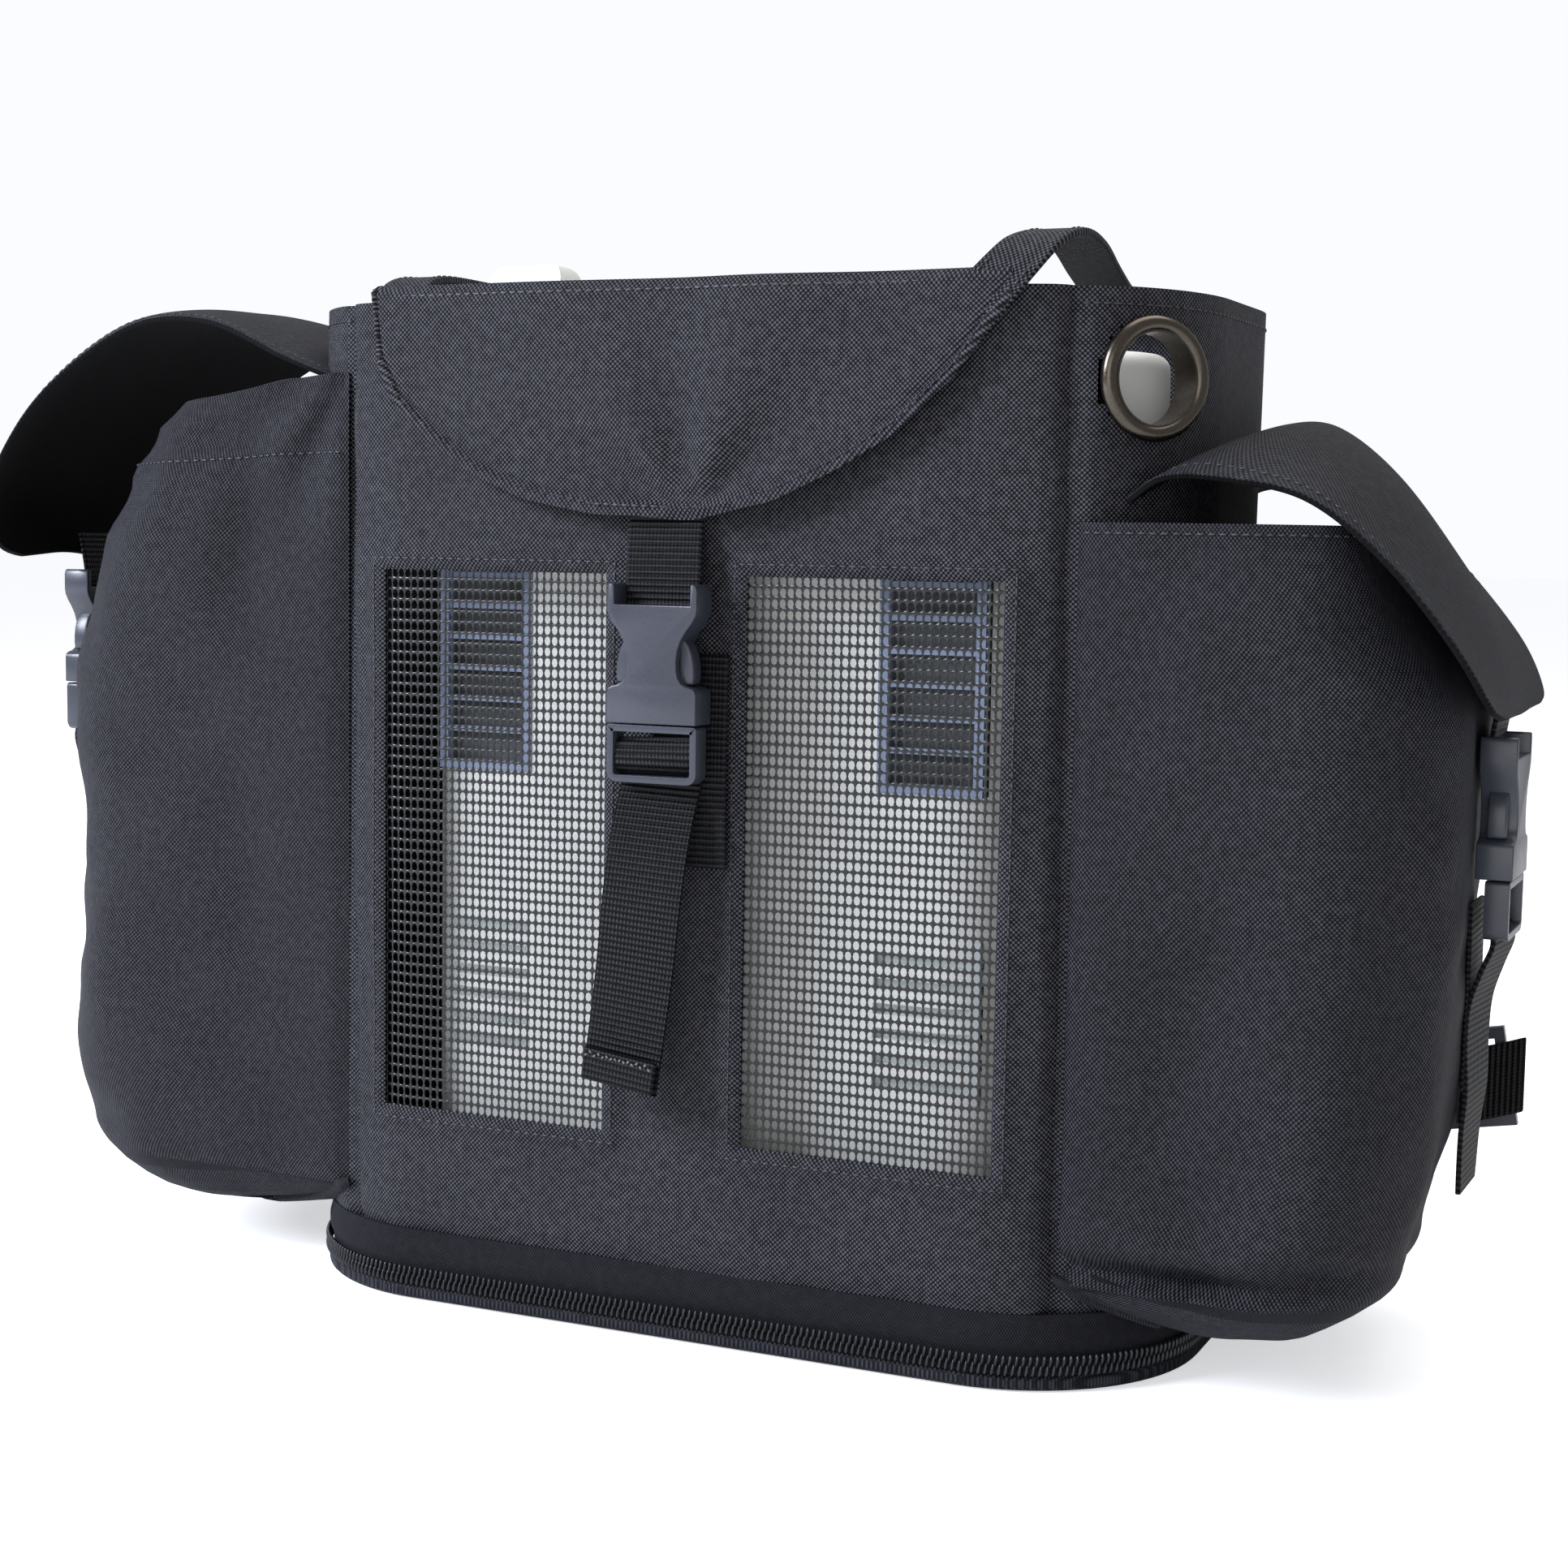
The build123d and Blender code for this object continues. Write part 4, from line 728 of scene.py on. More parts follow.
def pocket_ring(t, reach):
    """Plan point of a pocket wall at t, from the front seam (0) to the rear seam (1)."""
    corner, straight = POCKET_CORNER, POCKET_DEPTH - POCKET_CORNER
    run_in = reach - corner - POCKET_ROOT
    arc = corner * math.pi / 2
    at = 2 * (run_in + arc + straight) * (t if t <= 0.5 else 1 - t)
    if at <= run_in:
        x, y = POCKET_ROOT + at, -POCKET_DEPTH
    elif at <= run_in + arc:
        turn = (at - run_in) / corner
        x, y = reach - corner + corner * math.sin(turn), -straight - corner * math.cos(turn)
    else:
        x, y = reach, -straight + (at - run_in - arc)
    return x, (y if t <= 0.5 else -y)
def make_pocket(tag, side, profile, top, seed, creases, drawn_up=0.0, fan=0.0):
    """Loft one pocket. profile gives its reach by height, creases its local folds.

    drawn_up lifts the rim by the body, and fan is the depth of the folds that run from there.
    """
    bottom = 17.0
    fine_top = bottom + POCKET_TURN + 30
    wall_rows = spaced(bottom + POCKET_TURN, fine_top, 1.6) + spaced(fine_top, top, 4.0)[1:]
    turn_rows = [-k for k in (0, 1, 2, 3, 4, 5)]
    cap_rows = [-5 - 0.2 * k for k in range(1, 26)]
    rows = cap_rows[::-1] + turn_rows[:0:-1] + wall_rows

    def place(t, row):
        sag = math.sin(math.pi * t)
        low = bottom + 9 * (1 - sag) ** 2
        if row > 0:
            z, inward, cap = row, 0.0, 0.0
        elif row >= -5:
            angle = -row / 5 * math.pi / 2
            z = low + POCKET_TURN * (1 - math.sin(angle))
            inward, cap = POCKET_TURN * (1 - math.cos(angle)), 0.0
        else:
            z, inward, cap = low, POCKET_TURN, (-5 - row) / 5
        reach = reach_at(profile, z)
        x, y = pocket_ring(t, reach)
        centre = Vector((POCKET_MIDDLE, 0.0))
        outward = (Vector((x, y)) - centre).normalized()
        swell = 2.2 * math.sin(math.pi * min(1, max(0, (z - bottom) / (top - bottom))))
        swell *= math.sin(math.pi * t) ** 0.5
        slack = ripple(t * 260, z * 0.5, seed, 44, 6.4) + ripple(t * 260, z, seed + 4, 19, 2.2)
        fold = sum(d * near(t, ct, wt) * near(z, cz, wz) for ct, cz, wt, wz, d in creases)
        across, down = t * 280, top + 6 - z
        away = math.hypot(across, down)
        fold += fan * math.sin(math.atan2(down, across + 1) * 9 + 1.0) * (
            math.exp(-away / 70) * min(1, away / 26)
        )
        out = (swell + slack * min(1, 8 * t, 8 * (1 - t)) + fold) - inward
        spot = Vector((x, y)) + outward * out
        if cap > 0:
            run = SEAM_RUN + (BACK_SEAM_RUN - SEAM_RUN) * t
            home = Vector(round_body(run, 0.8))
            ease = cap * cap * (3 - 2 * cap)
            spot = spot.lerp(home, ease)
            z += 10 * ease * cap - 2.0 * math.sin(math.pi * cap) * sag
        if z > top - 45:
            nearness = max(near(t, 0, 0.17), near(t, 1, 0.17))
            z += drawn_up * nearness * ((z - top + 45) / 45) ** 1.5
        seam_tuck = 1.6 * near(t, 0, 0.012) + 1.6 * near(t, 1, 0.012)
        spot += Vector((0, seam_tuck if t < 0.5 else -seam_tuck))
        return side * spot.x, spot.y, z

    shell = pinned_sheet(f"pocket_shell_{tag}", spaced(0, 1, 0.008), rows, place)
    # the real cut size: width along the wall, height down it
    width = 2 * (profile[2][1] - POCKET_ROOT + POCKET_DEPTH)
    for uv in shell.data.uv_layers[0].data:
        uv.uv = (uv.uv[0] * width, uv.uv[1] if uv.uv[1] > 0 else uv.uv[1] * 8)
    if side < 0:
        shell.data.flip_normals()
    thicken(shell, 1.5, -1.0)
    # the pocket takes the darker copy of the cloth: painted shade
    dress(shell, shaded_nylon, "carrier", f"pocket_{tag}")
    sewn = top - 3 if side > 0 else top - 20
    hem = []
    for x, y, z in [place(t, sewn) for t in spaced(0.012, 0.988, 0.01)]:
        away = Vector((x - side * POCKET_MIDDLE, y, 0)).normalized() * 0.25
        hem.append((x + away.x, y + away.y, z))
    stitch_row(f"pocket_{tag}_hem_stitch", hem,
               lambda p: (p.x - side * POCKET_MIDDLE, p.y, 0), "carrier")
    print(shell.name, "faces", len(shell.data.polygons))


# Creases: (place round, height, spread round, spread up, depth). A deep one crosses the
# right pocket low down, where its bottom folds under.
make_pocket(
    "right", 1,
    [(15, 196), (40, 212), (86, 222), (148, 226), (200, 226), (257, 206)],
    256.0, 2.4,
    [(0.13, 38, 0.13, 3.2, -7.5), (0.27, 43, 0.05, 4.0, -5.0), (0.14, 47, 0.12, 6, 2.2),
     (0.12, 31, 0.12, 5, 2.5), (0.34, 52, 0.05, 14, 3.0), (0.24, 70, 0.05, 30, 4.0),
     (0.10, 110, 0.05, 50, -2.5), (0.30, 140, 0.05, 40, -2.0), (0.5, 60, 0.06, 40, 2.0)],
)
make_pocket(
    "left", -1,
    [(15, 226), (40, 250), (80, 256), (148, 256), (200, 253), (244, 244), (268, 234),
     (281, 223), (293, 208)],
    292.0, 6.8,
    [(0.12, 250, 0.03, 30, -3.5), (0.22, 262, 0.03, 24, 3.0), (0.30, 235, 0.04, 34, -3.0),
     (0.20, 60, 0.08, 18, 3.5), (0.28, 40, 0.05, 12, -3.5), (0.12, 120, 0.08, 30, -1.8)],
    drawn_up=9.5, fan=3.6,
)


# %% [markdown]
# The pocket flaps arch out from the bag and down to their buckles. Each is a stiffened sheet
# hemmed all round: it springs up in the middle, and its front and rear edges hang lower. Its
# top shows the bag's cloth and its underside a plain black lining.

# %% Pocket flaps
def make_flap(tag, side, crown, edge, half_depth, tip_r, body):
    """A flap laid between a crown line (x, z) down its middle and a line along its edges."""
    def place(w, u):
        middle = smooth_path([(x, 0, z) for x, z in crown], u)
        border = smooth_path([(x, 0, z) for x, z in edge], u)
        bend = abs(w) ** 2.2
        spot = middle.lerp(border, bend)
        near_tip = max(0, (u - 0.78) / 0.22)
        half = half_depth - tip_r * (1 - math.sqrt(max(0, 1 - near_tip ** 2)))
        lift = ripple(w * 60, u * 130, side * 3.7, 45, 2.4)
        return side * spot.x, w * half, spot.z + lift * (1 - abs(w) * 0.5)

    sheet = pinned_sheet(
        f"flap_cloth_{tag}",
        [math.sin(math.pi / 2 * w) for w in spaced(-1, 1, 0.05)],
        spaced(0, 1, 0.02),
        place,
    )
    length = sum((Vector(a) - Vector(b)).length for a, b in zip(crown, crown[1:]))
    for uv in sheet.data.uv_layers[0].data:
        uv.uv = (uv.uv[0] * half_depth, uv.uv[1] * length)
    if side < 0:
        sheet.data.flip_normals()
    sheet.data.materials.clear()
    solid = sheet.modifiers.new("thickness", "SOLIDIFY")
    solid.thickness = 2.0 * MM
    solid.offset = 0
    solid.material_offset = 1
    sheet.data.materials.append(lining_nylon)
    # the flap's top takes the darker copy of the cloth: painted shade
    sheet.data.materials.append(shaded_nylon)
    pick(sheet)
    bpy.ops.object.modifier_apply(modifier="thickness")
    smooth = sheet.modifiers.new("smooth", "SUBSURF")
    smooth.levels = smooth.render_levels = 1
    bpy.ops.object.shade_smooth()
    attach(sheet, body)
    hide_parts(f"pocket_flap_{tag}")
    down = spaced(0.03, 0.93, 0.02)
    line = [place(-0.93, u) for u in down] + [place(w, 0.955) for w in spaced(-0.85, 0.85, 0.05)]
    line += [place(0.93, u) for u in down[::-1]]
    lifted = [(x + side * 0.3, y, z + 1.1) for x, y, z in line]
    stitch_row(f"flap_{tag}_stitch", lifted, lambda p: (side * 0.4, 0, 1), body)
    print(sheet.name, "cut", round(2 * half_depth), "x", round(length), "mm")


make_flap(
    "right", 1,
    [(155.5, 279), (169, 285.5), (182, 285), (202, 268), (224, 237), (235, 215), (238.5, 201)],
    [(136, 262), (146, 269), (163, 269), (187, 264), (209, 247), (230, 222), (240, 203)],
    62.0, 20.0, "flap_right",
)
make_flap(
    "left", -1,
    [(155.5, 309), (180, 322), (214, 328), (250, 321), (281, 296), (296, 262), (285, 240)],
    [(134, 300), (154, 307), (186, 320), (219, 318), (258, 294), (281, 262), (283, 240)],
    62.0, 22.0, "flap_left",
)

# %% [markdown]
# The cover is a half-moon tongue that hangs over the front. Its webbing strap pulls it down,
# so soft folds fan out from where the strap is sewn. Its topstitched upper hem lies along
# the bag's front edge, and two narrow bands carry it over the open top to the back.

# %% Cover tongue
TONGUE_EDGE = [
    (-105, 320), (-103, 302), (-96, 289), (-84, 279), (-69, 269), (-50, 261), (-25, 256.5),
    (7, 255.5), (35, 261), (55, 270), (72, 280), (90, 297), (106, 320),
]
STRAP_ROOT = (7.0, 258.0)


def tongue_low(run):
    """Height of the tongue's curved lower edge."""
    for (x0, z0), (x1, z1) in zip(TONGUE_EDGE, TONGUE_EDGE[1:]):
        if run <= x1:
            return z0 + (z1 - z0) * (run - x0) / (x1 - x0)
    return TONGUE_EDGE[-1][1]


def tongue_out(run, z):
    """How far the tongue stands out: folds fan out from the strap's root."""
    dx, dz = run - STRAP_ROOT[0], z - STRAP_ROOT[1]
    away = math.hypot(dx, dz)
    fan = 3.3 * math.sin(math.atan2(dz, dx) * 6.0 + 0.8) * math.exp(-away / 70) * min(1, away / 22)
    belly = 3.0 * math.sin(math.pi * min(1, max(0, (327 - z) / 72)))
    edge = (1 - (run / 108) ** 2)
    hem = 1.0 * near(z - tongue_low(run), 1.4, 1.8) - 0.5 * near(z - tongue_low(run), 5.0, 1.6)
    return 3.4 + hem + fan + belly * max(0, edge) + ripple(run, z, 12.6, 40, 1.5)


def tongue_place(run, share):
    z = tongue_low(run) + (327.0 - tongue_low(run)) * share
    roll = 2.0 * near(share, 1.0, 0.05)
    return (*round_body(run, tongue_out(run, z) - roll), z)


half_turns = [math.sin(math.pi / 2 * k / 44) for k in range(-44, 45)]
tongue = pinned_sheet(
    "cover_tongue", [105.5 * k for k in half_turns], spaced(0, 1, 0.03, [0.97]), tongue_place
)
for loop, uv in zip(tongue.data.loops, tongue.data.uv_layers[0].data):
    uv.uv = (uv.uv[0], tongue.data.vertices[loop.vertex_index].co.z)
thicken(tongue, 2.0, 0.0)
dress(tongue, woven_nylon, "cover", "top_cover")

inner_hem = [(*round_body(r, tongue_out(r, tongue_low(r)) + 1.15), tongue_low(r) + 3.2)
             for r in spaced(-98, 98, 1.5)]
stitch_row("tongue_edge_stitch", inner_hem, lambda p: (p.x * 0.2, -1, 0), "cover")
upper_hem = [(*round_body(r, tongue_out(r, 324.5) + 0.7), 324.0) for r in spaced(-97, 97, 1.5)]
stitch_row("tongue_top_stitch", upper_hem, lambda p: (p.x * 0.2, -1, 0), "cover")
print("tongue faces:", len(tongue.data.polygons))


# %% Bands over the top
def ribbon(name, points, width, side_at, thick, material, body, nodes=(),
           steps=60):
    """A flat band along a smooth line of points. side_at(t) gives its width direction."""
    line = [smooth_path(points, k / steps) for k in range(steps + 1)]
    lengths = [0.0]
    for a, b in zip(line, line[1:]):
        lengths.append(lengths[-1] + (b - a).length)
    across = [-0.5, -0.46, -0.3, 0.0, 0.3, 0.46, 0.5]

    def place(w, k):
        spot = line[int(k)]
        edge = Vector(side_at(k / steps)).normalized()
        return spot + edge * (w * width)

    sheet = pinned_sheet(name, across, list(range(steps + 1)), place)
    for uv in sheet.data.uv_layers[0].data:
        k = min(steps, max(0, round(uv.uv[1] / MM)))
        uv.uv = (uv.uv[0] * width, lengths[k] * MM)
    thicken(sheet, thick, 0.0)
    soft = sheet.modifiers.new("soft_edge", "BEVEL")
    soft.width = 0.4 * thick * MM
    soft.segments = 2
    soft.angle_limit = math.radians(60)
    dress(sheet, material, body, *nodes)
    return line


def mixed(start, end=None):
    """A width direction that turns evenly from start to end, or keeps to start."""
    return lambda t: Vector(start).lerp(Vector(end or start), min(1, t * 2.2))


X_WAY, Y_WAY, Z_WAY = (1, 0, 0), (0, 1, 0), (0, 0, 1)
BAND_WIDTH, BAND_THICK = 17.0, 2.2


right_band = ribbon(
    "cover_band_right",
    [(78, -79.2, 300), (88, -79.8, 309), (97, -80.0, 319), (104.5, -78, 328), (110, -72, 335.5),
     (113.5, -60, 339), (113, -40, 337.5), (109, -12, 333.5), (103, 22, 331), (98, 55, 329),
     (97, 74, 328)],
    BAND_WIDTH, mixed((0.78, 0, -0.62), X_WAY), BAND_THICK, woven_nylon, "cover",
)
left_band = ribbon(
    "cover_band_left",
    [(-97, -79.5, 316), (-97, -79, 323), (-97, -74, 328.5), (-97, -60, 331), (-97, -20, 331),
     (-97, 20, 330.5), (-97, 55, 329.5), (-97, 74, 328)],
    BAND_WIDTH, mixed(X_WAY), BAND_THICK, woven_nylon, "cover",
)
ribbon(
    "cover_back_strip",
    [(-105, 75.5, 327.2), (-50, 76.5, 327.6), (0, 76.2, 327.0), (50, 76.6, 327.5),
     (105, 75.5, 327.2)],
    10.0, mixed(Y_WAY), BAND_THICK, woven_nylon, "cover",
)
for tag, line, start in (("right", right_band, (0.8, 0, -0.6)), ("left", left_band, X_WAY)):
    for mark, shift in (("outer", 6.3), ("inner", -6.3)):
        turn = mixed(start, X_WAY)
        row = [p + Vector(turn(k / 60)).normalized() * shift + Vector((0, -0.2, 1.15))
               for k, p in enumerate(line)]
        row = [p + Vector((0, -1.1, -0.8)) if p.y < -78 else p for p in row]
        stitch_row(f"band_{tag}_{mark}_stitch", row[:44],
                   lambda p: (0, -1, 0) if p.y < -78 else (0, 0, 1), "cover")
print("bands laid")

# %% [markdown]
# A side-release buckle is three acetal mouldings. The socket has a waist on each side, where
# the thumb and finger squeeze the plug's springy arms. Below it the plug ends in an open
# frame that the webbing is threaded through. Each moulding is a flat outline, extruded to
# its depth, with its edges rounded as they leave the mould. The outline is set on the points
# of a circle, half of it drawn and the other half mirrored.

# %% Buckle mouldings
def outline_slab(name, outline, y_front, y_back, edge, hole=None):
    """A slab of an upright outline (x, z), from y_front back to y_back."""
    rim = [(x, y_front, z) for x, z in outline]
    return slab(name, rim, (0, y_back - y_front, 0), edge, 35, hole)


def settle(obj, place, body, *nodes):
    """Put a piece that was modelled at its own origin in its place, on its body."""
    obj.data.transform(place)
    pick(obj)
    bpy.ops.object.shade_smooth_by_angle(angle=math.radians(35))
    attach(obj, body)
    if nodes:
        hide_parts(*nodes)
    return obj
def both_halves(half):
    """Close a right-hand half outline with its mirror image."""
    return half + [(-x, z) for x, z in half[::-1]]


SOCKET_HALF = [
    (12.7, -6.4), (12.7, -0.5), (13.4, 0.0), (14.4, -0.3), (15.0, -1.6), (15.0, -7.6),
    (14.6, -9.4), (13.2, -11.8), (11.3, -14.2), (9.7, -16.8), (8.7, -19.6), (8.3, -22.6),
    (8.35, -25.4), (8.8, -27.8), (9.8, -29.5), (11.3, -30.4), (13.4, -30.9), (14.6, -31.6),
    (15.0, -33.0), (15.0, -42.0),
]
ARM_OUTLINE = [
    (8.2, -16.0), (9.8, -16.4), (11.3, -18.4), (12.4, -21.2), (13.0, -24.4), (13.1, -27.4),
    (12.7, -30.0), (8.2, -30.2),
]
FRAME_CORNER = 3.2


def frame_outline(half_w, z_top, z_low, corner):
    """Rounded rectangle, its top corners nearly square and its lower ones round."""
    points = []
    for sx, z, r in ((1, z_low, corner), (1, z_top, 1.2), (-1, z_top, 1.2), (-1, z_low, corner)):
        up = 1 if z == z_low else -1
        start = {(1, 1): -90, (-1, 1): 180, (-1, -1): 90, (1, -1): 0}[(sx, up)]
        for k in range(7):
            a = math.radians(start + 15 * k)
            points.append((sx * (half_w - r) + r * math.cos(a), z + up * r + r * math.sin(a)))
    return points


BUCKLES = (
    ("front", "cover", (0, -0.0885, 0.236), 0),
    ("right", "flap_right", (0.236, 0, 0.196), math.pi / 2),
    ("left", "flap_left", (-0.281, 0, 0.235), -math.pi / 2),
)
buckle_pieces = []
for tag, body, origin, turn in BUCKLES:
    place = Matrix.Translation(origin) @ Matrix.Rotation(turn, 4, "Z")
    socket = outline_slab(f"socket_{tag}", both_halves(SOCKET_HALF), -5.4, 5.4, 1.1)
    buckle_pieces.append(settle(socket, place, body, f"buckle_socket_{tag}"))
    frame_piece = outline_slab(
        f"plug_frame_{tag}", frame_outline(15.0, -42.5, -59.9, FRAME_CORNER), -4.7, 2.4, 0.7, 2.1
    )
    buckle_pieces.append(settle(frame_piece, place, body, f"buckle_plug_{tag}"))
    bar = outline_slab(
        f"plug_bar_{tag}", frame_outline(13.4, -49.0, -53.2, 1.6), -1.6, 1.4, 0.7
    )
    buckle_pieces.append(settle(bar, place, body))
    for end, hand in (("a", 1), ("b", -1)):
        points = [(hand * x, z) for x, z in ARM_OUTLINE]
        arm = outline_slab(f"squeeze_arm_{tag}_{end}", points, -2.9, 2.9, 0.8)
        buckle_pieces.append(
            settle(arm, place, f"arm_{tag}_{end}", f"release_arm_{tag}_{end}")
        )
print("buckle pieces:", len(buckle_pieces))

# %% [markdown]
# The straps are ribbed nylon webbing, 25 mm wide. Each hangs from the cover or a flap to its
# buckle's socket. Below the plug the free tail has been pulled through and hangs with a
# slight twist, as webbing does that has been wound through a slider for years.

# %% Front webbing
WEB_WIDTH, WEB_THICK = 25.0, 1.6


def web(name, points, side_at, body, nodes=(), steps=60):
    """A run of the strap webbing."""
    ribbon(name, points, WEB_WIDTH, side_at, WEB_THICK, strap_webbing, body, nodes, steps)


web(
    "front_upper_web",
    [(-2.0, -79.9, 268), (-2.0, -80.0, 262), (-1.8, -80.6, 256), (-1.2, -82.6, 249),
     (-0.5, -84.6, 242), (0, -85.8, 235), (0, -86.0, 228)],
    mixed(X_WAY), "cover", ["upper_strap_front"], steps=30,
)
web(
    "front_tail_web",
    [(0, -87.4, 188.8), (0, -90.2, 189.2), (0, -91.4, 187.0), (0, -91.4, 182.5),
     (0, -89.6, 180.0), (0, -86.6, 178.0), (0, -85.4, 176), (-1, -87.5, 168),
     (-2.2, -90.2, 155), (-4, -91.0, 138), (-6.4, -89.6, 120), (-8.6, -89.4, 103),
     (-10.5, -91.5, 82)],
    lambda t: (1, 0.22 * math.sin(2.6 * t) - 0.1, 0.06 - 0.2 * t),
    "cover", ["tail_strap_front"], 70,
)
ribbon(
    "front_tail_hem",
    [(-9.5, -92.6, 92.5), (-10, -92.9, 88), (-10.5, -93.2, 82.3)],
    24.6, lambda t: (1, 0.02, -0.14), 1.5, strap_webbing, "cover", steps=8,
)
pale_thread = flecked_material("pale_thread", "#3d3d40", "#85858a", 2500.0, 0.5)
zigzag = [(-21 + 1.35 * k, -93.6 + 0.02 * k, 91.5 + (1.3 if k % 2 else 0) - 0.19 * k)
          for k in range(17)]
stitch_row("tail_hem_stitch", zigzag, lambda p: (0, -1, 0), "cover", 1.3, pale_thread)
web(
    "front_anchor_web",
    [(7, -80.6, 150), (7, -80.9, 165), (7, -81.2, 182), (7, -80.9, 200), (7, -80.6, 215)],
    mixed(X_WAY), "carrier", ["anchor_strap_front"], steps=24,
)
print("front webbing laid")
# %% Side webbing
SIDES = (
    ("right", 1, 236.0, 196.0, 226.6, [90, 146],
     [(234.6, 0, 146), (234.6, 0, 142), (236.4, 0, 139), (237.4, 0, 134), (234.5, 0, 126),
      (231.5, 0, 116), (230.8, 0, 104), (231.2, 0, 90), (230.0, 0, 76), (229.5, 0, 59)]),
    ("left", -1, 281.0, 235.0, 257.2, [128, 184],
     [(279.6, 0, 184), (279.6, 0, 180), (281.4, 0, 177), (282.4, 0, 172), (280.0, 0, 164),
      (276.5, 0, 154), (274.8, 0, 142), (273.5, 0, 123)]),
)
for tag, side, buckle_x, top, wall_x, (low, high), tail in SIDES:
    flap = f"flap_{tag}"
    root = [(0.5, 14), (-1.4, 6), (-2.5, -1), (-2.5, -6.5)]
    web(f"{tag}_upper_web", [(side * (buckle_x + out), 0, top + up) for out, up in root],
        mixed(Y_WAY), flap, [f"upper_strap_{tag}"], steps=16)
    web(f"{tag}_tail_web", [(side * x, y, z) for x, y, z in tail],
        lambda t: (0.12 * math.sin(3 * t), 1, 0), flap, [f"tail_strap_{tag}"])
    seat = [(2.6, low), (2.8, (low + high) / 2), (2.6, high)]
    web(f"{tag}_anchor_web", [(side * (wall_x + out), 0, z) for out, z in seat],
        mixed(Y_WAY), "carrier", [f"anchor_strap_{tag}"], steps=12)
print("side webbing laid")

# %% [markdown]
# On the back are two padded shoulder straps, the webbing that takes them to the bottom
# corners through flat sliders, and a haul loop. The pads are foam in the bag's cloth, so
# they are crowned, with their edges pulled in by the seam.

# %% Shoulder pads
PAD_X, PAD_Z, PAD_HALF, PAD_LONG = 68, 197.5, 27.5, 105
for tag, side in (("right", 1), ("left", -1)):
    bpy.ops.mesh.primitive_grid_add(x_subdivisions=22, y_subdivisions=70, size=1)
    pad = bpy.context.object
    pad.name = f"shoulder_pad_cloth_{tag}"
    pads = {}
    for vertex in pad.data.vertices:
        u, v = vertex.co.x * 2, vertex.co.y * 2
        end = max(0, (abs(v) - 0.86) / 0.14)
        half = PAD_HALF * math.sqrt(max(0.12, 1 - 0.9 * end ** 2))
        crown = (1 - u * u) ** 0.45 * (1 - v ** 12) ** 0.5
        channel = 1 - 0.22 * near(abs(u), 0.45, 0.07)
        x = side * PAD_X + u * half
        z = PAD_Z + v * PAD_LONG
        y = 78.6 + 8.2 * crown * channel + ripple(x, z, 2.2, 30, 0.35)
        pads[vertex.index] = (x, z)
        vertex.co = Vector((x, y, z)) * MM
    for loop, uv in zip(pad.data.loops, pad.data.uv_layers[0].data):
        uv.uv = Vector(pads[loop.vertex_index]) * MM
    pad.data.flip_normals()
    thicken(pad, 0.5, -1.0, 1)
    dress(pad, woven_nylon, "carrier", f"shoulder_pad_{tag}")
    for mark in (-1, 1):
        seam = [(side * PAD_X + mark * (PAD_HALF - 3), 82.2, z) for z in spaced(104, 290, 3)]
        stitch_row(f"pad_{tag}_stitch_{'b' if mark > 0 else 'a'}", seam,
                   lambda p: (0, 1, 0), "carrier")
print("shoulder pads filled")

# %% Lower webbing and haul loop
for tag, side in (("right", 1), ("left", -1)):
    corner = [(90, 80.6, 49), (130, 81.0, 56), (165, 82.5, 61), (200, 83.0, 67.5),
              (222, 80.6, 74), (235.5, 80.2, 78.5)]
    web(f"lower_web_{tag}", [(side * x, y, z) for x, y, z in corner], mixed(Z_WAY), "carrier",
        ["lower_shoulder_webbing"], steps=50)


def round_arch(t):
    """The loop's width turns over its arch, between its two straight ends."""
    angle = math.pi * min(1, max(0, (t - 0.2) / 0.6))
    return math.cos(angle), 0, -math.sin(angle)
ribbon(
    "haul_loop",
    [(-28, 80.0, 268), (-29, 80.6, 285), (-28, 82.5, 303), (-18, 84.5, 314), (0, 85.2, 317.5),
     (18, 84.5, 314), (28, 82.5, 303), (29, 80.6, 285), (28, 80.0, 268)],
    15.0, round_arch,
    2.6, strap_webbing, "carrier", ["haul_handle"], steps=64,
)
print("lower webbing and haul loop laid")


# %% [markdown]
# The hard pieces keep their CAD shapes and get finishes. Moulded plastic is never perfectly
# even: a fine spark-eroded grain breaks up its highlights and its colour drifts slightly.
# One recipe serves them all, with the grain size, colour and gloss of each real plastic.

# %% Moulded plastics
def moulded(name, dark, light, grain_mm, bump_mm, roughness, coat, metallic):
    """Grained finish: dark and light are the ends of its colour drift."""
    material, tree, shader = new_material(
        name, Roughness=roughness, Metallic=metallic, Coat_Weight=coat
    )
    coords = surface_coords(tree, "Object")
    grain = flecks(tree, coords, 1 / (grain_mm * MM))
    fine = maths(tree, "MULTIPLY", grain, 0.35)
    drift = maths(tree, "MULTIPLY_ADD", flecks(tree, coords, 22.0, 3.0), 0.65, fine)
    tree.links.new(between(tree, drift, dark, light, 0.3, 0.7), shader.inputs["Base Color"])
    gloss = node(tree, "ShaderNodeMapRange", Value=grain, To_Min=roughness - 0.06,
                 To_Max=roughness + 0.08)
    tree.links.new(gloss.outputs[0], shader.inputs["Roughness"])
    bump = node(tree, "ShaderNodeBump", Height=grain, Distance=bump_mm * MM, Strength=0.5)
    tree.links.new(bump.outputs[0], shader.inputs["Normal"])
    return material
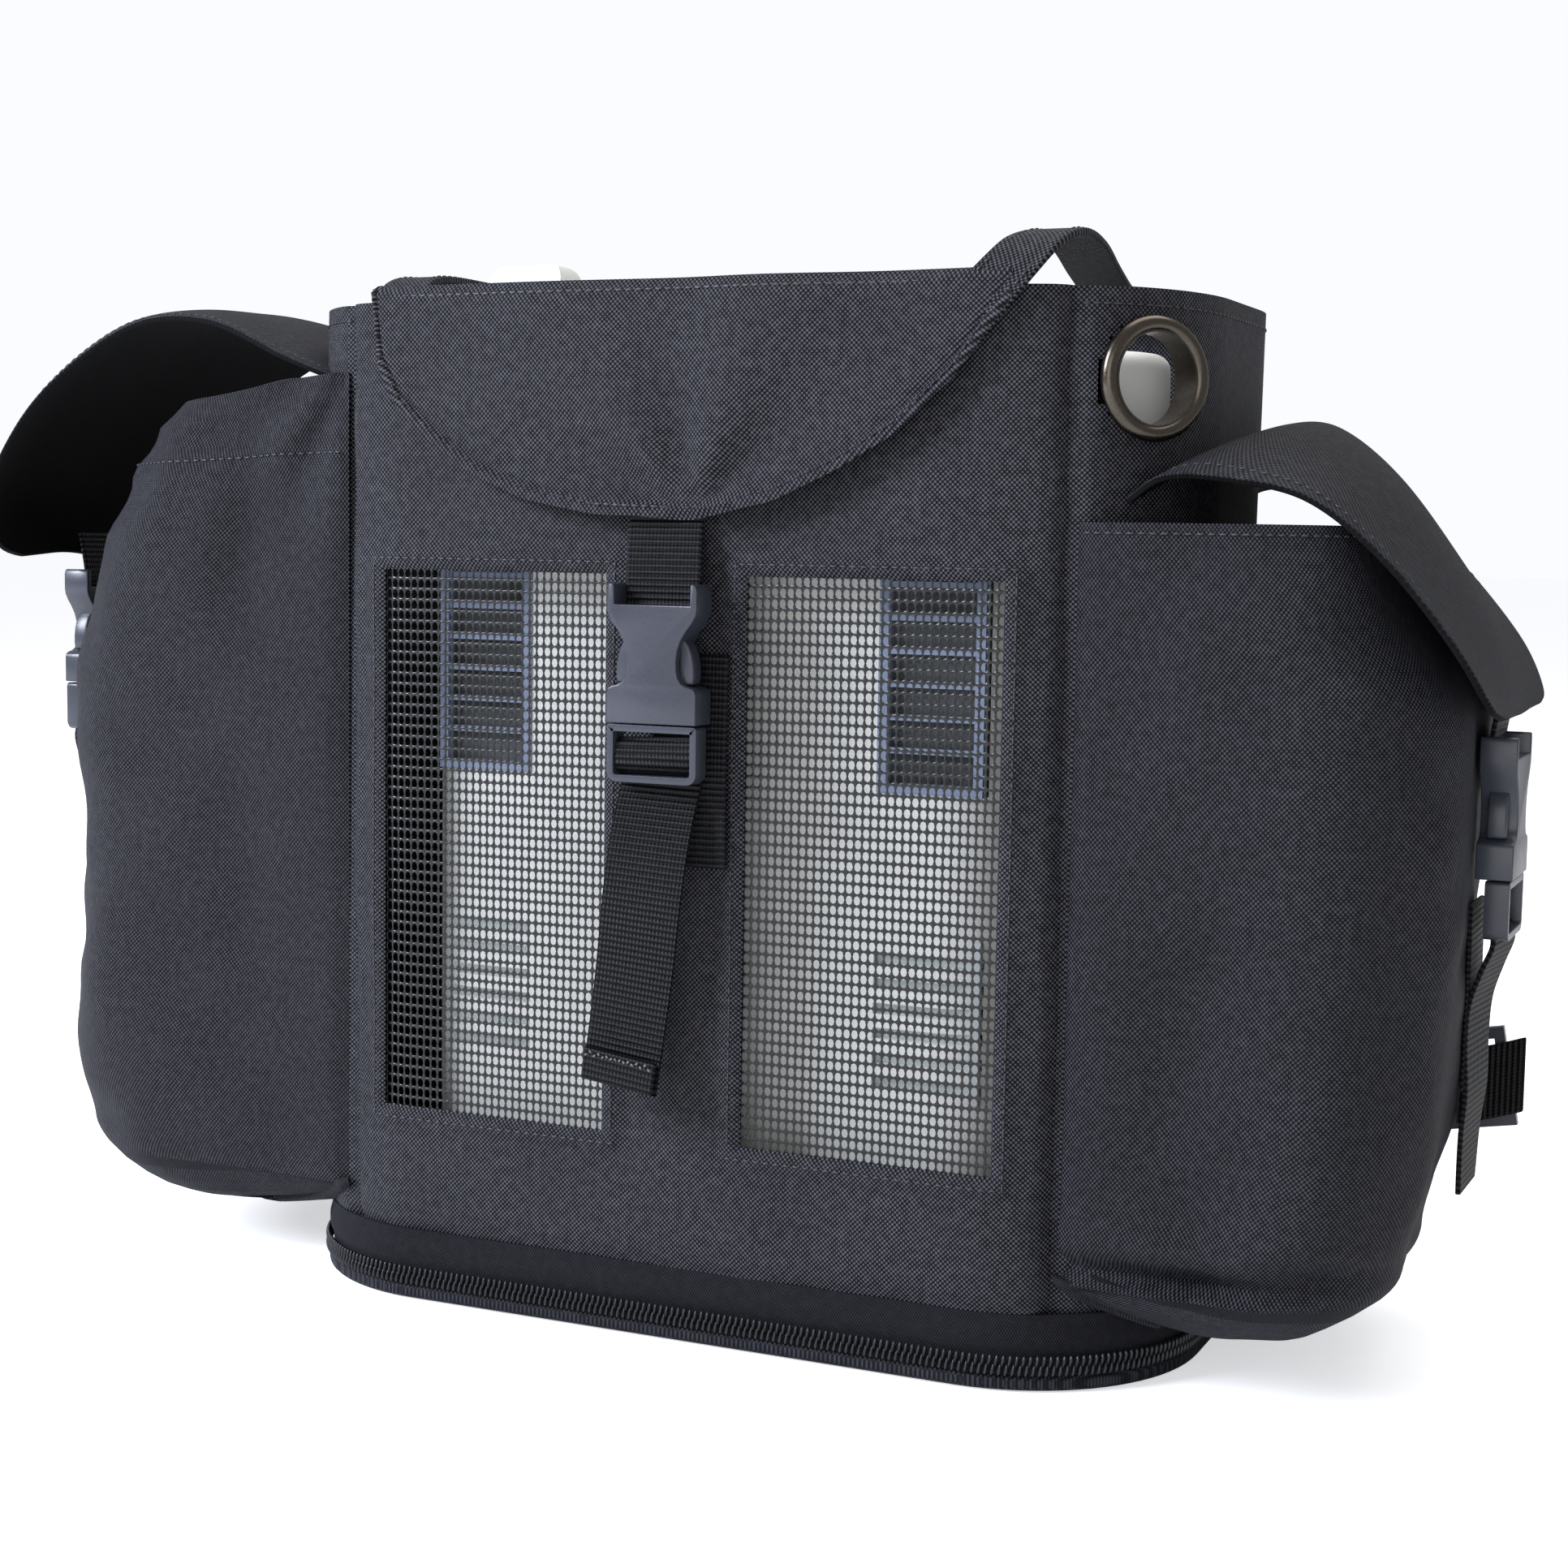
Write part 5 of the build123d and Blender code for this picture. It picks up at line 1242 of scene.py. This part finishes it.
# The louvres open on pale baffles, moulded like shallow steps, so no dark shows through. Their
# grey-green tone, below the housing's white, is painted shade in the louvre grooves.
BAFFLE_HALF, STEP_UP = 17.0, 7.7
baffles = []
for side, tag in ((1, "right"), (-1, "left")):
    steps = [(-BAFFLE_HALF, 80.0), (BAFFLE_HALF, 80.0)]
    for k in range(6):
        z = 83.0 + STEP_UP * k
        steps += [(BAFFLE_HALF, z + 1.7), (BAFFLE_HALF - 0.4, z + 3.4)]
    steps += [(BAFFLE_HALF, 130.0), (-BAFFLE_HALF, 130.0)]
    baffle = outline_slab(f"louvre_baffle_{tag}", steps, -57.3, -55.8, 0.2)
    baffles.append(settle(baffle, Matrix.Translation((side * 0.077, 0, 0)), "carrier").name)
# A round shoulder of the same shell stands just behind the grommet and shows through it. It
# is a cylinder with softened rims, cut flat where it grows out of the housing's side.
SHOULDER_R, SHOULDER_LONG, SHOULDER_PLACE = 24 * MM, 44 * MM, (0.112, -0.022, 0.285)
HOUSING_SIDE = (0.101, 0, 0)
bpy.ops.mesh.primitive_cylinder_add(
    vertices=72, radius=SHOULDER_R, depth=SHOULDER_LONG, location=SHOULDER_PLACE
)
shoulder = bpy.context.object
shoulder.name = "housing_shoulder"
bpy.ops.object.transform_apply(location=True)
round_edges(shoulder, 5, 5, 40)
bpy.ops.object.mode_set(mode="EDIT")
bpy.ops.mesh.select_all(action="SELECT")
bpy.ops.mesh.bisect(plane_co=HOUSING_SIDE, plane_no=X_WAY, clear_inner=True, use_fill=True)
bpy.ops.object.mode_set(mode="OBJECT")
bpy.ops.object.shade_smooth_by_angle(angle=math.radians(35))
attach(shoulder, "carrier")
print("shoulder faces:", len(shoulder.data.polygons))

# %% Finishes
# Each row: the finish, its two tones, grain and bump in mm, roughness, coat, metal, pieces.
SLIDERS_AND_BUCKLES = ["strap_sliders"] + [piece.name for piece in buckle_pieces]
HOUSING = ["housing_front", "housing_rear", "device_handle", shoulder.name]
BUTTONS = ["flow_down_button", "power_button", "flow_up_button"]
FINISHES = (
    # the baffles: grey-green below the housing's white, painted shade in the louvres
    ("baffle_abs", "#b9c0bf", "#cdd3d2", 0.5, 0.03, 0.5, 0, 0, baffles),
    ("housing_abs", "#ebebe6", "#f6f6f1", 0.5, 0.03, 0.42, 0, 0, HOUSING),
    ("vent_abs", "#7f8ca6", "#95a2ba", 0.4, 0.03, 0.45, 0, 0, ["filter_frames"]),
    ("filter_foam", "#1c1e1f", "#66696a", 0.9, 0.8, 0.9, 0, 0, ["air_filters"]),
    # black acetal, satin from its mould, coloured a lighter bluish grey than its black: painted
    # highlight of its broad faces
    ("buckle_acetal", "#2c2e36", "#3d404a", 0.25, 0.05, 0.28, 0, 0, SLIDERS_AND_BUCKLES),
    # gunmetal plating on brass, softly polished
    ("gunmetal_plate", "#4d4740", "#625b52", 0.8, 0.01, 0.25, 0, 1,
     ["grommet_ring", "grommet_washer"]),
    ("painted_zinc", "#121214", "#26262a", 0.5, 0.02, 0.3, 0, 0, ["zip_slider"]),
    ("panel_polycarbonate", "#3c4350", "#495162", 0.3, 0.02, 0.38, 0, 0,
     ["control_panel", "battery_pack"]),
    ("button_silicone", "#9aa3ad", "#b0b8c1", 0.3, 0.03, 0.55, 0, 0, BUTTONS),
    ("nozzle_nickel", "#b9bcc0", "#d6d8da", 0.5, 0.01, 0.22, 0, 1, ["outlet_nozzle"]),
    ("jack_nylon", "#17181a", "#26282b", 0.3, 0.02, 0.4, 0, 0, ["dc_inlet", "fan_rotor"]),
    ("cast_aluminium", "#7d8084", "#a3a6aa", 0.9, 0.15, 0.5, 0, 1, ["compressor"]),
    ("drawn_aluminium", "#b4b7bb", "#cfd2d5", 0.4, 0.01, 0.3, 0, 1, ["sieve_beds"]),
    ("board_laminate", "#14502c", "#1f6b3d", 0.6, 0.02, 0.35, 0.4, 0, ["circuit_board"]),
    ("display_glass", "#0a1014", "#131c22", 3.0, 0.0, 0.08, 0.6, 0, ["display_window"]),
)
for *finish, pieces in FINISHES:
    material = moulded(*finish)
    for piece in pieces:
        slots = bpy.data.objects[piece].data.materials
        slots.clear()
        slots.append(material)
print("finishes:", len(FINISHES))
